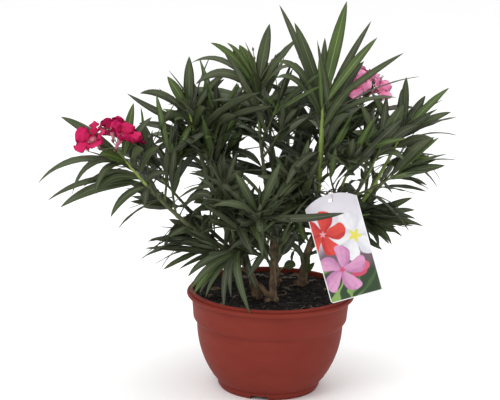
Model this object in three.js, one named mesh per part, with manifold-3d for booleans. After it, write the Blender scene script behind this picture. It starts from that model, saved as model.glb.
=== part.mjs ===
// A young oleander in a round plastic bowl pot: four woody stems stand in the compost, each carries
// green boughs, and each bough ends in its own mass of foliage. A picture card hangs from one bough
// by a loop of tie.
// Units are millimetres, +Z is up, and the origin is the middle of the pot's flat underside. -Y is the front.
import * as THREE from "three";
import { mergeVertices } from "three/addons/utils/BufferGeometryUtils.js";
import Module from "manifold-3d";

const wasm = await Module();
wasm.setup();

const GAP = 0.35; // left between two solids that would touch

// ---------------------------------------------------------------- driving dimensions
const POT = {
  height: 154.5,
  wall: 2.3,
  footRadius: 78,
  footHeight: 10,
  treadRadius: 75, // the foot narrows to its tread, the ring it stands on
  padRadius: 50, // the flat middle of the underside
  moatHeight: 7, // the raised ring of the underside, between the pad and the foot
  bowlRadius: 111.5,
  bowlTop: 103,
  bowlFall: 130, // half height of the ellipse that the bowl's side follows
  collarLow: 117,
  collarHigh: 120,
  collarBase: 109,
  collarTop: 142,
  lipRadius: 127.5,
  segments: 32,
};
// The foot's drain notches: turn is the first one's angle in degrees.
const NOTCH = { count: 3, width: 25, height: 6.5, turn: -101, depth: 20 };
const SOIL = { top: 149, edge: 148, flatRadius: 106 };
const CARD = {
  width: 78,
  height: 155.5,
  shoulder: 143,
  corner: 4,
  thickness: 1,
  holeWidth: 7,
  holeHeight: 5.2,
  holeDrop: 9.5, // from the card's head to the hole's middle
};
const TIE = { radius: 0.65, around: 6.6, held: 0.62 }; // held: the share of the bough where the loop is
const COLOUR = {
  pot: 0x86392f,
  compost: 0x241f1b,
  wood: 0x6b5b45,
  greenBark: 0x6d8438,
  leaf: 0x3f4c33,
  card: 0xe6e2e6,
  tie: 0xe8e6e0,
};

// A woody stem: its foot on the compost, its top where the last bough leaves, and its radii there.
const STEMS = {
  front: { foot: [3, -42], top: [1, -12, 233], radii: [6, 4.6] },
  right: { foot: [49, 42], top: [67, 30, 235], radii: [6.4, 5] },
  left: { foot: [-22, -30], top: [-62, -4, 224], radii: [5.6, 4.4] },
  back: { foot: [6, 40], top: [8, 80, 239], radii: [5.8, 4.6] },
};

// A shoot leaves its stem at a share of the stem's height, aims at bend and ends at tip. Its last leafy
// millimetres carry the mass, which spreads to side round the shoot, goes beyond past its tip, and runs
// out to its longest leaves at lobe.
const SHOOTS = {
  tall_right: {
    stem: "right", at: 1, bend: [66, -62, 318], tip: [71, -22, 498], thick: 3.9,
    leafy: 110, side: 82, beyond: 98, lobe: [172, -30, 524],
  },
  top_centre: {
    stem: "front", at: 1, bend: [-14, 2, 330], tip: [-33, 0, 470], thick: 3.6,
    leafy: 115, side: 72, beyond: 84, lobe: [40, -4, 540],
  },
  upper_left: {
    stem: "left", at: 1, bend: [-108, 22, 340], tip: [-137, 20, 437], thick: 3.4,
    leafy: 95, side: 84, beyond: 68, lobe: [-226, 6, 452],
  },
  left_flower: {
    stem: "left", at: 0.7, bend: [-132, -44, 248], tip: [-228, -50, 368], thick: 3.4,
    leafy: 105, side: 96, beyond: 50, lobe: [-346, -48, 306],
  },
  right_outer: {
    stem: "right", at: 0.72, bend: [128, -22, 258], tip: [195, -20, 416], thick: 3.4,
    leafy: 105, side: 82, beyond: 70, lobe: [279, -22, 396],
  },
  right_inner: {
    stem: "right", at: 0.86, bend: [124, -50, 292], tip: [166, -72, 424], thick: 3,
    leafy: 85, side: 58, beyond: 45,
  },
  pink_flower: {
    stem: "back", at: 0.8, bend: [84, 74, 330], tip: [140, 66, 440], thick: 3.2,
    leafy: 90, side: 72, beyond: 40,
  },
  low_front: {
    stem: "front", at: 0.5, bend: [-22, -22, 232], tip: [-44, -58, 214], thick: 2.6,
    leafy: 34, side: 56, beyond: 34, lobe: [-44, -100, 164],
  },
  centre_front: {
    stem: "front", at: 0.78, bend: [42, -46, 248], tip: [31, -66, 348], thick: 3,
    leafy: 85, side: 56, beyond: 62,
  },
  front_left: {
    stem: "left", at: 0.86, bend: [-52, -62, 240], tip: [-84, -84, 344], thick: 3,
    leafy: 95, side: 66, beyond: 52,
  },
  low_left: {
    stem: "left", at: 0.52, bend: [-84, -4, 214], tip: [-142, -22, 250], thick: 2.8,
    leafy: 62, side: 60, beyond: 70, lobe: [-226, -40, 222],
  },
  low_right: {
    stem: "right", at: 0.55, bend: [108, 8, 218], tip: [152, -16, 286], thick: 2.8,
    leafy: 62, side: 58, beyond: 66, lobe: [232, -30, 286],
  },
  front_right: {
    stem: "right", at: 0.94, bend: [98, -40, 310], tip: [112, -104, 378], thick: 2.8,
    leafy: 72, side: 56, beyond: 48,
  },
  front_low: {
    stem: "front", at: 0.64, bend: [-6, -62, 226], tip: [-24, -122, 300], thick: 2.8,
    leafy: 76, side: 60, beyond: 50,
  },
  mid_left: {
    stem: "left", at: 0.94, bend: [-82, 62, 318], tip: [-84, 60, 396], thick: 2.8,
    leafy: 80, side: 62, beyond: 50,
  },
  mid_high: {
    stem: "back", at: 0.96, bend: [26, 76, 340], tip: [22, 56, 424], thick: 3,
    leafy: 85, side: 62, beyond: 58,
  },
  back_left: {
    stem: "back", at: 0.72, bend: [-66, 118, 322], tip: [-116, 122, 398], thick: 3,
    leafy: 85, side: 76, beyond: 60,
  },
  back_centre: {
    stem: "back", at: 1, bend: [-2, 122, 350], tip: [-14, 138, 444], thick: 3.2,
    leafy: 90, side: 74, beyond: 54,
  },
  back_right: {
    stem: "back", at: 0.88, bend: [62, 122, 322], tip: [92, 138, 410], thick: 3,
    leafy: 85, side: 72, beyond: 56,
  },
  far_left: {
    stem: "left", at: 0.62, bend: [-126, 62, 252], tip: [-196, 76, 330], thick: 2.8,
    leafy: 80, side: 72, beyond: 56,
  },
  far_right: {
    stem: "right", at: 0.64, bend: [140, 74, 258], tip: [196, 84, 336], thick: 2.8,
    leafy: 80, side: 74, beyond: 56,
  },
  low_back: {
    stem: "back", at: 0.56, bend: [26, 138, 246], tip: [38, 178, 316], thick: 2.8,
    leafy: 72, side: 72, beyond: 46,
  },
  low_back_left: {
    stem: "back", at: 0.64, bend: [-52, 132, 242], tip: [-90, 160, 300], thick: 2.8,
    leafy: 70, side: 70, beyond: 46,
  },
};

const vector = (p) => new THREE.Vector3(...p);
const UP = new THREE.Vector3(0, 0, 1);

// Numbers from 0 to 1 in a fixed order, so that the part is the same each time it is made.
function seeded(seed) {
  let state = seed;
  return () => {
    state = (state * 1664525 + 1013904223) % 4294967296;
    return state / 4294967296;
  };
}

// ---------------------------------------------------------------- solids
function solidOf(geometry) {
  const bare = new THREE.BufferGeometry().setAttribute("position", geometry.getAttribute("position"));
  if (geometry.index) bare.setIndex(geometry.index);
  const merged = mergeVertices(bare, 1e-3);
  const vertProperties = new Float32Array(merged.attributes.position.array);
  const triVerts = new Uint32Array(merged.index.array);
  return new wasm.Manifold(new wasm.Mesh({ numProp: 3, vertProperties, triVerts }));
}

// The largest closed body of a solid, as a geometry.
function geometryOf(solid) {
  const largest = solid.decompose().sort((a, b) => b.volume() - a.volume())[0];
  const mesh = largest.getMesh();
  return new THREE.BufferGeometry()
    .setAttribute("position", new THREE.BufferAttribute(new Float32Array(mesh.vertProperties), 3))
    .setIndex(new THREE.BufferAttribute(new Uint32Array(mesh.triVerts), 1));
}

// A profile of [radius, height] points, from the axis round to the axis, turned about Z.
function turned(profile, segments) {
  const points = profile.map(([r, z]) => new THREE.Vector2(r, z));
  return new THREE.LatheGeometry(points, segments).rotateX(Math.PI / 2);
}

// A tapering limb: a turned rod of the given radii, whose rings are carried along the curve.
function limb(curve, radiusAt, { grow = 0, sides = 6, steps = 3 } = {}) {
  const rod = [[0, 0]];
  for (let i = 0; i <= steps; i += 1) rod.push([radiusAt(i / steps) + grow, i / steps]);
  rod.push([0, 1]);
  const geometry = turned(rod, sides);
  const places = geometry.attributes.position;
  for (let i = 0; i < places.count; i += 1) {
    const share = Math.min(1, Math.max(0, places.getZ(i)));
    const along = curve.getTangentAt(share);
    const turn = new THREE.Quaternion().setFromUnitVectors(UP, along);
    const out = new THREE.Vector3(places.getX(i), places.getY(i), 0).applyQuaternion(turn);
    const end = share === 0 ? -grow : share === 1 ? grow : 0;
    const place = curve.getPointAt(share).addScaledVector(along, end).add(out);
    places.setXYZ(i, place.x, place.y, place.z);
  }
  return geometry;
}

// ---------------------------------------------------------------- pot and compost
// The bowl's side is part of an ellipse whose widest ring is at the bowl's top.
const bowlRadius = (z) => POT.bowlRadius * Math.sqrt(1 - ((POT.bowlTop - z) / POT.bowlFall) ** 2);

function bowlSide(inset, low, steps) {
  const points = [];
  for (let i = 0; i <= steps; i += 1) {
    const z = low + ((POT.bowlTop - low) * i) / steps;
    points.push([bowlRadius(z) - inset, z]);
  }
  return points;
}

function potSolid() {
  const { height, wall, footRadius, footHeight, treadRadius, padRadius, moatHeight } = POT;
  const { collarLow, collarHigh, collarBase, collarTop, lipRadius } = POT;
  const pad = [[0, 0], [padRadius, 0], [padRadius + 5, moatHeight]];
  const tread = [[treadRadius - 5, moatHeight], [treadRadius - 4, 0], [treadRadius, 0]];
  const foot = [[footRadius, 5], [footRadius, footHeight]];
  const bowl = bowlSide(0, footHeight + 0.6, 5);
  const collar = [[collarLow, collarBase], [collarHigh, collarTop]];
  const lipUnder = [[lipRadius - 1.5, collarTop + 2], [lipRadius, collarTop + 6]];
  const lipOver = [[lipRadius - 2, height - 2], [collarHigh + 1, height], [collarHigh - 2, height - 1.5]];
  const inCollar = [[collarHigh - wall, collarTop], [collarLow - wall, collarBase]];
  const inBowl = bowlSide(wall, footHeight + 3, 5).reverse();
  const floor = [[padRadius + 5, moatHeight + wall], [padRadius, wall + 0.5], [0, wall + 0.5]];
  const outside = [...pad, ...tread, ...foot, ...bowl, ...collar, ...lipUnder];
  let solid = solidOf(turned([...outside, ...lipOver, ...inCollar, ...inBowl, ...floor], POT.segments));
  for (let i = 0; i < NOTCH.count; i += 1) {
    const angle = THREE.MathUtils.degToRad(NOTCH.turn + (360 * i) / NOTCH.count);
    const box = new THREE.BoxGeometry(NOTCH.depth, NOTCH.width, 2 * NOTCH.height);
    solid = solid.subtract(solidOf(box.translate(treadRadius, 0, 0).rotateZ(angle)));
  }
  return geometryOf(solid);
}

function compostSolid() {
  const inset = POT.wall + GAP;
  const inner = bowlSide(inset, POT.footHeight + 3.6, 4);
  const edgeRadius = POT.collarHigh - inset;
  const low = POT.wall + 0.5 + GAP;
  const floor = [[0, low], [POT.padRadius - 1, low], [POT.padRadius + 4, POT.moatHeight + inset]];
  const side = [[POT.collarLow - inset, POT.collarBase + 0.5], [edgeRadius, POT.collarTop]];
  const top = [[edgeRadius, SOIL.edge], [SOIL.flatRadius, SOIL.top], [0, SOIL.top]];
  return turned([...floor, ...inner, ...side, ...top], POT.segments);
}

// ---------------------------------------------------------------- stems and boughs
// A stem rises straight from its flat cut on the compost, then leans to its top.
function stemCurve({ foot, top }) {
  const low = vector([...foot, SOIL.top + GAP]);
  const high = vector(top);
  const knee = low.clone().addScaledVector(UP, 0.45 * (high.z - low.z));
  return new THREE.QuadraticBezierCurve3(low, knee, high);
}

// The stem swells into its root flare over the lowest part.
const FLARE = 4.5;
const stemRadius = (radii) => (share) =>
  THREE.MathUtils.lerp(radii[0], radii[1], share) + FLARE * Math.exp(-share / 0.09);

const stems = Object.entries(STEMS).map(([name, stem]) => {
  const curve = stemCurve(stem);
  const make = (grow) => limb(curve, stemRadius(stem.radii), { grow, sides: 8, steps: 6 });
  return { name: `stem_${name}`, curve, stem, make };
});

const shoots = Object.entries(SHOOTS).map(([name, shoot], index) => {
  const { curve: stemLine } = stems.find((s) => s.name === `stem_${shoot.stem}`);
  const start = stemLine.getPointAt(shoot.at);
  if (shoot.at === 1) start.addScaledVector(stemLine.getTangentAt(1), GAP);
  const line = new THREE.QuadraticBezierCurve3(start, vector(shoot.bend), vector(shoot.tip));
  line.arcLengthDivisions = 100;
  const length = line.getLength();
  const woody = 1 - (shoot.leafy - 8) / length; // the bough's own share of the line: it ends inside its mass
  const bough = new THREE.CatmullRomCurve3([0, 0.25, 0.5, 0.75, 1].map((s) => line.getPointAt(s * woody)));
  const heart = 1 - shoot.leafy / 2 / length;
  const [centre, heading] = [line.getPointAt(heart), line.getTangentAt(heart)];
  return { ...shoot, name, index, bough, centre, heading };
});

const boughRadius = (thick) => (share) => thick * (1 - 0.3 * share);
const boughSolid = (shoot, grow) => solidOf(limb(shoot.bough, boughRadius(shoot.thick), { grow }));

// ---------------------------------------------------------------- foliage
// A mass is an egg along its shoot, from the foot of the leafy part to beyond the tip, with five ribs
// of leaves down it.
const MERIDIANS = 10;
const PARALLELS = 7;
const RIBS = MERIDIANS / 2;
const VALLEY = 0.7; // the share of the full reach that is left between two ribs
const FULLNESS = 2.5; // 2 gives an egg, more gives it broader shoulders
const LOBE_SHARPNESS = 8; // how fast a lobe falls away to its sides

// Between two neighbours stands a plane, nearer to the smaller one, that neither mass crosses.
function wallBetween(a, b) {
  const apart = b.centre.clone().sub(a.centre);
  const distance = apart.length();
  const share = 0.5 + (a.side ** 2 - b.side ** 2) / (2 * distance ** 2);
  const normal = apart.normalize();
  const point = a.centre.clone().addScaledVector(normal, distance * THREE.MathUtils.clamp(share, 0.3, 0.7));
  return { normal, offset: normal.dot(point) - GAP };
}

function massGeometry(shoot, neighbours) {
  const random = seeded(1234 + 77 * shoot.index);
  const phase = random() * Math.PI * 2;
  const ribs = Array.from({ length: RIBS }, () => 0.84 + 0.16 * random());
  const turn = new THREE.Quaternion().setFromUnitVectors(new THREE.Vector3(0, 1, 0), shoot.heading);
  const walls = neighbours.map((other) => wallBetween(shoot, other));
  const lobe = shoot.lobe && vector(shoot.lobe).sub(shoot.centre);
  const geometry = new THREE.SphereGeometry(1, MERIDIANS, PARALLELS);
  const places = geometry.attributes.position;
  for (let i = 0; i < places.count; i += 1) {
    const way = new THREE.Vector3().fromBufferAttribute(places, i).normalize();
    const ahead = way.y > 0 ? shoot.leafy / 2 + shoot.beyond : shoot.leafy / 2 + 6;
    const across = Math.hypot(way.x, way.z);
    const egg = (Math.abs(way.y / ahead) ** FULLNESS + (across / shoot.side) ** FULLNESS) ** (-1 / FULLNESS);
    const turnShare = Math.atan2(way.z, way.x) / (2 * Math.PI);
    const meridian = Math.round(turnShare * MERIDIANS + MERIDIANS) % MERIDIANS;
    const rib = meridian % 2 ? VALLEY : ribs[meridian / 2];
    let reach = egg * THREE.MathUtils.lerp(1, rib, Math.min(1, across * 1.4));
    way.applyAxisAngle(new THREE.Vector3(0, 1, 0), phase).applyQuaternion(turn);
    if (lobe) {
      const facing = Math.max(0, way.dot(lobe) / lobe.length()) ** LOBE_SHARPNESS;
      reach += Math.max(0, lobe.length() - reach) * facing;
    }
    for (const { normal, offset } of walls) {
      const pace = normal.dot(way);
      if (pace > 1e-6) reach = Math.min(reach, (offset - normal.dot(shoot.centre)) / pace);
    }
    const place = shoot.centre.clone().addScaledVector(way, reach);
    places.setXYZ(i, place.x, place.y, place.z);
  }
  return geometry;
}

// ---------------------------------------------------------------- the picture card and its tie
const card = new THREE.Group();
const cardUp = vector([-39.5, 25, 150]).normalize();
const cardAcross = vector([74, 0, 19]).addScaledVector(cardUp, -vector([74, 0, 19]).dot(cardUp)).normalize();
const cardBack = cardUp.clone().cross(cardAcross);
card.position.set(85, -76, 312); // the hole's middle
card.setRotationFromMatrix(new THREE.Matrix4().makeBasis(cardAcross, cardBack, cardUp));
card.updateMatrixWorld(true);

// Drawn flat: square at the foot with rounded corners, and shoulders that rise to a rounded head.
function cardGeometry() {
  const { width, height, shoulder, corner, thickness, holeWidth, holeHeight, holeDrop } = CARD;
  const half = width / 2;
  const outline = new THREE.Shape();
  outline.moveTo(-half + corner, 0);
  outline.lineTo(half - corner, 0);
  outline.quadraticCurveTo(half, 0, half, corner);
  outline.lineTo(half, shoulder);
  outline.quadraticCurveTo(half * 0.55, height - 1, 0, height);
  outline.quadraticCurveTo(-half * 0.55, height - 1, -half, shoulder);
  outline.lineTo(-half, corner);
  outline.quadraticCurveTo(-half, 0, -half + corner, 0);
  const hole = new THREE.Path();
  hole.absellipse(0, height - holeDrop, holeWidth / 2, holeHeight / 2, 0, 2 * Math.PI);
  outline.holes.push(hole);
  return new THREE.ExtrudeGeometry(outline, { depth: thickness, bevelEnabled: false, curveSegments: 5 })
    .rotateX(Math.PI / 2)
    .translate(0, thickness / 2, -(height - holeDrop));
}

// The tie is a closed loop of thin wire: through the card's hole, over its head, and round the bough of
// the tall right shoot. Its places are in the card's own frame, across, back and up from the hole.
const holder = shoots[0];
const held = card.worldToLocal(holder.bough.getPointAt(TIE.held));
const heldAlong = holder.bough.getTangentAt(TIE.held).applyQuaternion(card.quaternion.clone().invert());
const backOf = new THREE.Vector3(0, 1, 0).addScaledVector(heldAlong, -heldAlong.y).normalize();
const leftOf = heldAlong.clone().cross(backOf);
const round = (left, back) =>
  held.clone().addScaledVector(leftOf, left * TIE.around).addScaledVector(backOf, back * TIE.around);
const tieCurve = new THREE.CatmullRomCurve3(
  [
    vector([0, 0, -0.5]),
    vector([-0.4, 3.6, 0.6]),
    vector([-2.5, 3.2, CARD.holeDrop + 4]).lerp(round(1, -0.4), 0.2),
    round(1, -0.2),
    round(0, 1),
    round(-1, -0.2),
    vector([1.2, -2.2, CARD.holeDrop + 1.5]),
    vector([0.4, -2.8, CARD.holeDrop * 0.5]),
  ],
  true,
);
const tieGeometry = (radius) => new THREE.TubeGeometry(tieCurve, 28, radius, 5, true);

// Nothing of the plant stands in the card's place or in front of it.
function cardRoom() {
  const { width, height, holeDrop } = CARD;
  const room = new THREE.BoxGeometry(width + 8, 90, height + 6).translate(0, -37, -(height / 2 - holeDrop));
  return room.applyMatrix4(card.matrixWorld);
}

// ---------------------------------------------------------------- the object
const oleander = new THREE.Group();

function add(parent, name, geometry, color, roughness) {
  const mesh = new THREE.Mesh(geometry, new THREE.MeshStandardMaterial({ color, roughness, metalness: 0 }));
  mesh.name = name;
  parent.add(mesh);
}

add(oleander, "pot", potSolid(), COLOUR.pot, 0.55);
add(oleander, "compost", compostSolid(), COLOUR.compost, 0.95);
for (const { name, make } of stems) add(oleander, name, make(0), COLOUR.wood, 0.85);

const tieRoom = tieGeometry(TIE.radius + GAP).applyMatrix4(card.matrixWorld);
const cutters = [...stems.map(({ make }) => solidOf(make(GAP))), solidOf(tieRoom)];
for (const shoot of shoots) {
  let bough = boughSolid(shoot, 0);
  const others = shoot === holder ? cutters.slice(0, stems.length) : cutters;
  for (const other of others) bough = bough.subtract(other);
  add(oleander, `bough_${shoot.name}`, geometryOf(bough), COLOUR.greenBark, 0.6);
  cutters.push(boughSolid(shoot, GAP));
}

const room = solidOf(cardRoom());
for (const shoot of shoots) {
  let mass = solidOf(massGeometry(shoot, shoots.filter((other) => other !== shoot)));
  for (const cutter of [...cutters, room]) mass = mass.subtract(cutter);
  add(oleander, `foliage_${shoot.name}`, geometryOf(mass), COLOUR.leaf, 0.6);
}

add(card, "picture_card", cardGeometry(), COLOUR.card, 0.35);
add(card, "card_tie", tieGeometry(TIE.radius), COLOUR.tie, 0.5);
oleander.add(card);

export default oleander;
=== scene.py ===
"""The looks of a young oleander in a terracotta coloured bowl pot, with a picture card tied to one bough.

Lengths are in millimetres until a mesh is made, +Z is up and -Y is the front. The pot, the limbs and the
card keep the places of the frame; the leaves grow on from the limbs by a seeded rule, inside the masses.
"""

import math

import bmesh
import bpy
import numpy as np
from mathutils import Matrix, Vector
from mathutils.bvhtree import BVHTree


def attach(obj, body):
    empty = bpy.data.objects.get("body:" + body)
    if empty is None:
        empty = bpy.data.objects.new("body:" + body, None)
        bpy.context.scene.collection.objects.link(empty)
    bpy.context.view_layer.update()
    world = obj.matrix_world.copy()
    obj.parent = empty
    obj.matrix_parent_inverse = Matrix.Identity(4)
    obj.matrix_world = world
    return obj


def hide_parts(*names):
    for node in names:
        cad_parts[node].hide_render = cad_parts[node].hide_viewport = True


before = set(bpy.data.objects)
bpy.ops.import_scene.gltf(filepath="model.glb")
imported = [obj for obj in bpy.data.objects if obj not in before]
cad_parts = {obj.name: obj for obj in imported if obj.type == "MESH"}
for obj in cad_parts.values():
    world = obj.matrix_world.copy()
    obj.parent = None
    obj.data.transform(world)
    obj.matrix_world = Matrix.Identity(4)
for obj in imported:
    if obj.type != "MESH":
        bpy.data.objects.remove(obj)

MM = 0.001
DOWN = np.array([0.0, 0.0, -1.0])
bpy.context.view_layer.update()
random = np.random.default_rng(20)


# ---------------------------------------------------------------- camera, floor and light
CAMERA = {"height": 12.9, "roll": 1.3, "distance": 2.4, "aim": (-0.0345, 0, 0.2905), "lens": 114.8}


def make_camera():
    """Looks along +Y and down by its height angle at the aim point, turned a little about its own line."""
    tilt = math.radians(CAMERA["height"])
    back = Vector((0, -math.cos(tilt), math.sin(tilt)))
    right = Vector((1, 0, 0))
    up = back.cross(right)
    roll = Matrix.Rotation(math.radians(CAMERA["roll"]), 3, "Z")
    basis = Matrix((right, up, back)).transposed() @ roll
    data = bpy.data.cameras.new("camera")
    data.sensor_width = 36
    data.lens = CAMERA["lens"]
    data.clip_end = 100
    camera = bpy.data.objects.new("camera", data)
    place = Vector(CAMERA["aim"]) + back * CAMERA["distance"]
    camera.matrix_world = Matrix.Translation(place) @ basis.to_4x4()
    bpy.context.scene.collection.objects.link(camera)
    bpy.context.scene.camera = camera


make_camera()


def area_light(name, place, size, power, aim=(0, 0, 0.25)):
    """A square soft light at its place, in metres and watts, turned to the aim."""
    data = bpy.data.lights.new(name, "AREA")
    data.shape = "SQUARE"
    data.size = size
    data.energy = power
    light = bpy.data.objects.new(name, data)
    light.location = place
    light.rotation_euler = (Vector(place) - Vector(aim)).to_track_quat("Z", "Y").to_euler()
    bpy.context.scene.collection.objects.link(light)


def make_studio():
    """A white room with even light, a large soft key from the upper left and a weaker light from above."""
    world = bpy.data.worlds.new("studio")
    world.use_nodes = True
    world.node_tree.nodes["Background"].inputs["Color"].default_value = (1, 1, 1, 1)
    world.node_tree.nodes["Background"].inputs["Strength"].default_value = 1.0
    bpy.context.scene.world = world
    bpy.context.scene.view_settings.view_transform = "Standard"
    area_light("key", (-1.3, -2.0, 2.7), 1.6, 34)
    area_light("top", (0.5, 0.5, 3.0), 1.8, 24)


def make_floor():
    """A pale floor so wide that no edge of it shows."""
    far = 30
    corners = [(-far, -far, 0), (far, -far, 0), (far, far, 0), (-far, far, 0)]
    mesh = bpy.data.meshes.new("floor")
    mesh.from_pydata(corners, [], [(0, 1, 2, 3)])
    floor = bpy.data.objects.new("floor", mesh)
    bpy.context.scene.collection.objects.link(floor)
    paint = mottled("floor_paint", (0.965, 0.965, 0.965), (0.975, 0.975, 0.975), 0.9, scale=3)
    mesh.materials.append(paint)


# ---------------------------------------------------------------- materials
def shader_of(name, roughness, **sockets):
    """A new material, its node tree and its shader, with plain numbers set on the shader's own sockets."""
    material = bpy.data.materials.new(name)
    material.use_nodes = True
    tree = material.node_tree
    shader = tree.nodes["Principled BSDF"]
    shader.inputs["Roughness"].default_value = roughness
    for socket, value in sockets.items():
        shader.inputs[socket.replace("_", " ")].default_value = value
    return material, tree, shader


def noise_on(tree, scale, stretch=(1, 1, 1), detail=4.0):
    """Noise on Object coordinates, in cells per metre times scale, drawn out along an axis by stretch."""
    place = tree.nodes.new("ShaderNodeTexCoord")
    mapping = tree.nodes.new("ShaderNodeMapping")
    mapping.inputs["Scale"].default_value = stretch
    noise = tree.nodes.new("ShaderNodeTexNoise")
    noise.inputs["Scale"].default_value = scale
    noise.inputs["Detail"].default_value = detail
    tree.links.new(place.outputs["Object"], mapping.inputs["Vector"])
    tree.links.new(mapping.outputs["Vector"], noise.inputs["Vector"])
    return noise.outputs["Fac"]


def blend_of(tree, factor, low, high, start=0.35, end=0.65):
    """A colour that goes from low to high as the factor goes from start to end."""
    ramp = tree.nodes.new("ShaderNodeValToRGB")
    ramp.color_ramp.elements[0].position = start
    ramp.color_ramp.elements[0].color = (*low, 1)
    ramp.color_ramp.elements[1].position = end
    ramp.color_ramp.elements[1].color = (*high, 1)
    tree.links.new(factor, ramp.inputs["Fac"])
    return ramp.outputs["Color"]


def bump_from(tree, shader, height, distance, strength=1.0):
    """Relief on a shader from a height socket, distance metres from its lowest to its highest."""
    bump = tree.nodes.new("ShaderNodeBump")
    bump.inputs["Strength"].default_value = strength
    bump.inputs["Distance"].default_value = distance
    tree.links.new(height, bump.inputs["Height"])
    tree.links.new(bump.outputs["Normal"], shader.inputs["Normal"])


def mottled(name, low, high, roughness, scale=60, grain=0, depth=0.0002, stretch=(1, 1, 1), **sockets):
    """Two near colours blended by noise, with a finer noise as relief where grain is given."""
    material, tree, shader = shader_of(name, roughness, **sockets)
    colour = blend_of(tree, noise_on(tree, scale, stretch), low, high)
    tree.links.new(colour, shader.inputs["Base Color"])
    if grain:
        bump_from(tree, shader, noise_on(tree, grain, stretch), depth)
    return material


def blade_ways(tree):
    """The place on a blade: the socket of its own map, and the node that parts it into across and along."""
    blade = tree.nodes.new("ShaderNodeUVMap")
    blade.uv_map = "blade"
    split = tree.nodes.new("ShaderNodeSeparateXYZ")
    tree.links.new(blade.outputs["UV"], split.inputs["Vector"])
    return blade.outputs["UV"], split.outputs


def veined(name, low, high, roughness, vein=0.5, **sockets):
    """A leaf face: two near greens, and fine side veins that slant from the midrib to the edge.

    The vein pattern is a sine of the place along the blade plus a share of the distance from the midrib.
    """
    material, tree, shader = shader_of(name, roughness, **sockets)
    colour = blend_of(tree, noise_on(tree, 28, detail=2), low, high)
    tree.links.new(colour, shader.inputs["Base Color"])
    _, ways = blade_ways(tree)

    def step(operation, first, second=0.0):
        """One sum on two values, each a number or a socket."""
        node = tree.nodes.new("ShaderNodeMath")
        node.operation = operation
        for socket, value in zip(node.inputs, (first, second)):
            if isinstance(value, float):
                socket.default_value = value
            else:
                tree.links.new(value, socket)
        return node.outputs["Value"]

    aside = step("ABSOLUTE", step("SUBTRACT", ways["X"], 0.5))
    slant = step("SUBTRACT", step("MULTIPLY", ways["Y"], 60.0), step("MULTIPLY", aside, 7.0))
    bump_from(tree, shader, step("SINE", step("MULTIPLY", slant, 2 * math.pi)), 0.00012, vein)
    return material


# ---------------------------------------------------------------- shapes worked out as whole arrays
def unit(v):
    """Vectors divided by their own lengths."""
    return v / np.maximum(np.linalg.norm(v, axis=-1, keepdims=True), 1e-9)


def square_to(v, along):
    """The part of v that is square to the unit vectors along, at unit length."""
    return unit(v - np.sum(v * along, axis=-1, keepdims=True) * along)


def curve_of(foot, bend, tip, share):
    """The smooth curve from foot to tip that leans to bend: (1 - u)^2 foot + 2 u (1 - u) bend + u^2 tip."""
    return (1 - share) ** 2 * foot + 2 * share * (1 - share) * bend + share**2 * tip


def straight(start, way, length, share):
    """The straight line from start along way: start + way * length * u."""
    return start + unit(np.array(way, float)) * length * share


# Large odd numbers that mix a cell's place and the seed into a random value.
MIXERS = np.array([374761393, 668265263, 1440662683])
SEED_MIXER, LAST_MIXER = 144665, 1274126177
LOW_BITS = 0xFFFFFFFF


def lumps(points, cell, seed):
    """Smooth noise from -1 to 1: random values at the corners of each cell, blended by a smooth step."""
    place = np.asarray(points, float) / cell
    low = np.floor(place).astype(np.int64)
    part = place - low
    part = part * part * (3 - 2 * part)
    total = np.zeros(place.shape[:-1])
    for corner in np.ndindex(2, 2, 2):
        mixed = ((low + corner) * MIXERS).sum(-1) + seed * SEED_MIXER & LOW_BITS
        mixed = (mixed ^ (mixed >> 13)) * LAST_MIXER & LOW_BITS
        value = ((mixed ^ (mixed >> 16)) & 0xFFFF) / 32767.5 - 1
        total += value * np.prod(np.where(corner, part, 1 - part), axis=-1)
    return total


def rod_faces(count, rows, ring):
    """Quads round count rods, each of rows rings of ring points, then one face over each end."""
    first = (np.arange(count) * rows * ring)[:, None, None]
    row = (np.arange(rows - 1) * ring)[None, :, None]
    here = np.arange(ring)[None, None, :]
    after = (here + 1) % ring
    low, high = first + row, first + row + ring
    quads = np.stack([low + here, low + after, high + after, high + here], -1).reshape(-1, 4)
    foot = first[:, 0] + np.arange(ring)[::-1]
    head = first[:, 0] + (rows - 1) * ring + np.arange(ring)
    return quads.tolist() + foot.tolist() + head.tolist()


def rods(paths, radii, ring=10, relief=None):
    """Round rods: path + radius * (side cos a + other sin a), with the two sides carried on without twist.

    paths is count x rows x 3 and radii is count x rows. relief, where given, adds to the radius by place.
    """
    along = unit(np.gradient(paths, axis=1))
    side = np.empty_like(along)
    start = np.where(np.abs(along[:, 0, 2:]) > 0.9, [[1.0, 0, 0]], [[0, 0, 1.0]])
    side[:, 0] = square_to(start, along[:, 0])
    for row in range(1, paths.shape[1]):
        side[:, row] = square_to(side[:, row - 1], along[:, row])
    other = np.cross(along, side)
    angle = np.linspace(0, 2 * np.pi, ring, endpoint=False)[:, None]
    out = side[:, :, None] * np.cos(angle) + other[:, :, None] * np.sin(angle)
    reach = np.repeat(radii[:, :, None], ring, axis=2)
    if relief is not None:
        reach = reach + relief(paths[:, :, None] + out * reach[..., None])
    return paths[:, :, None] + out * reach[..., None]


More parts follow.
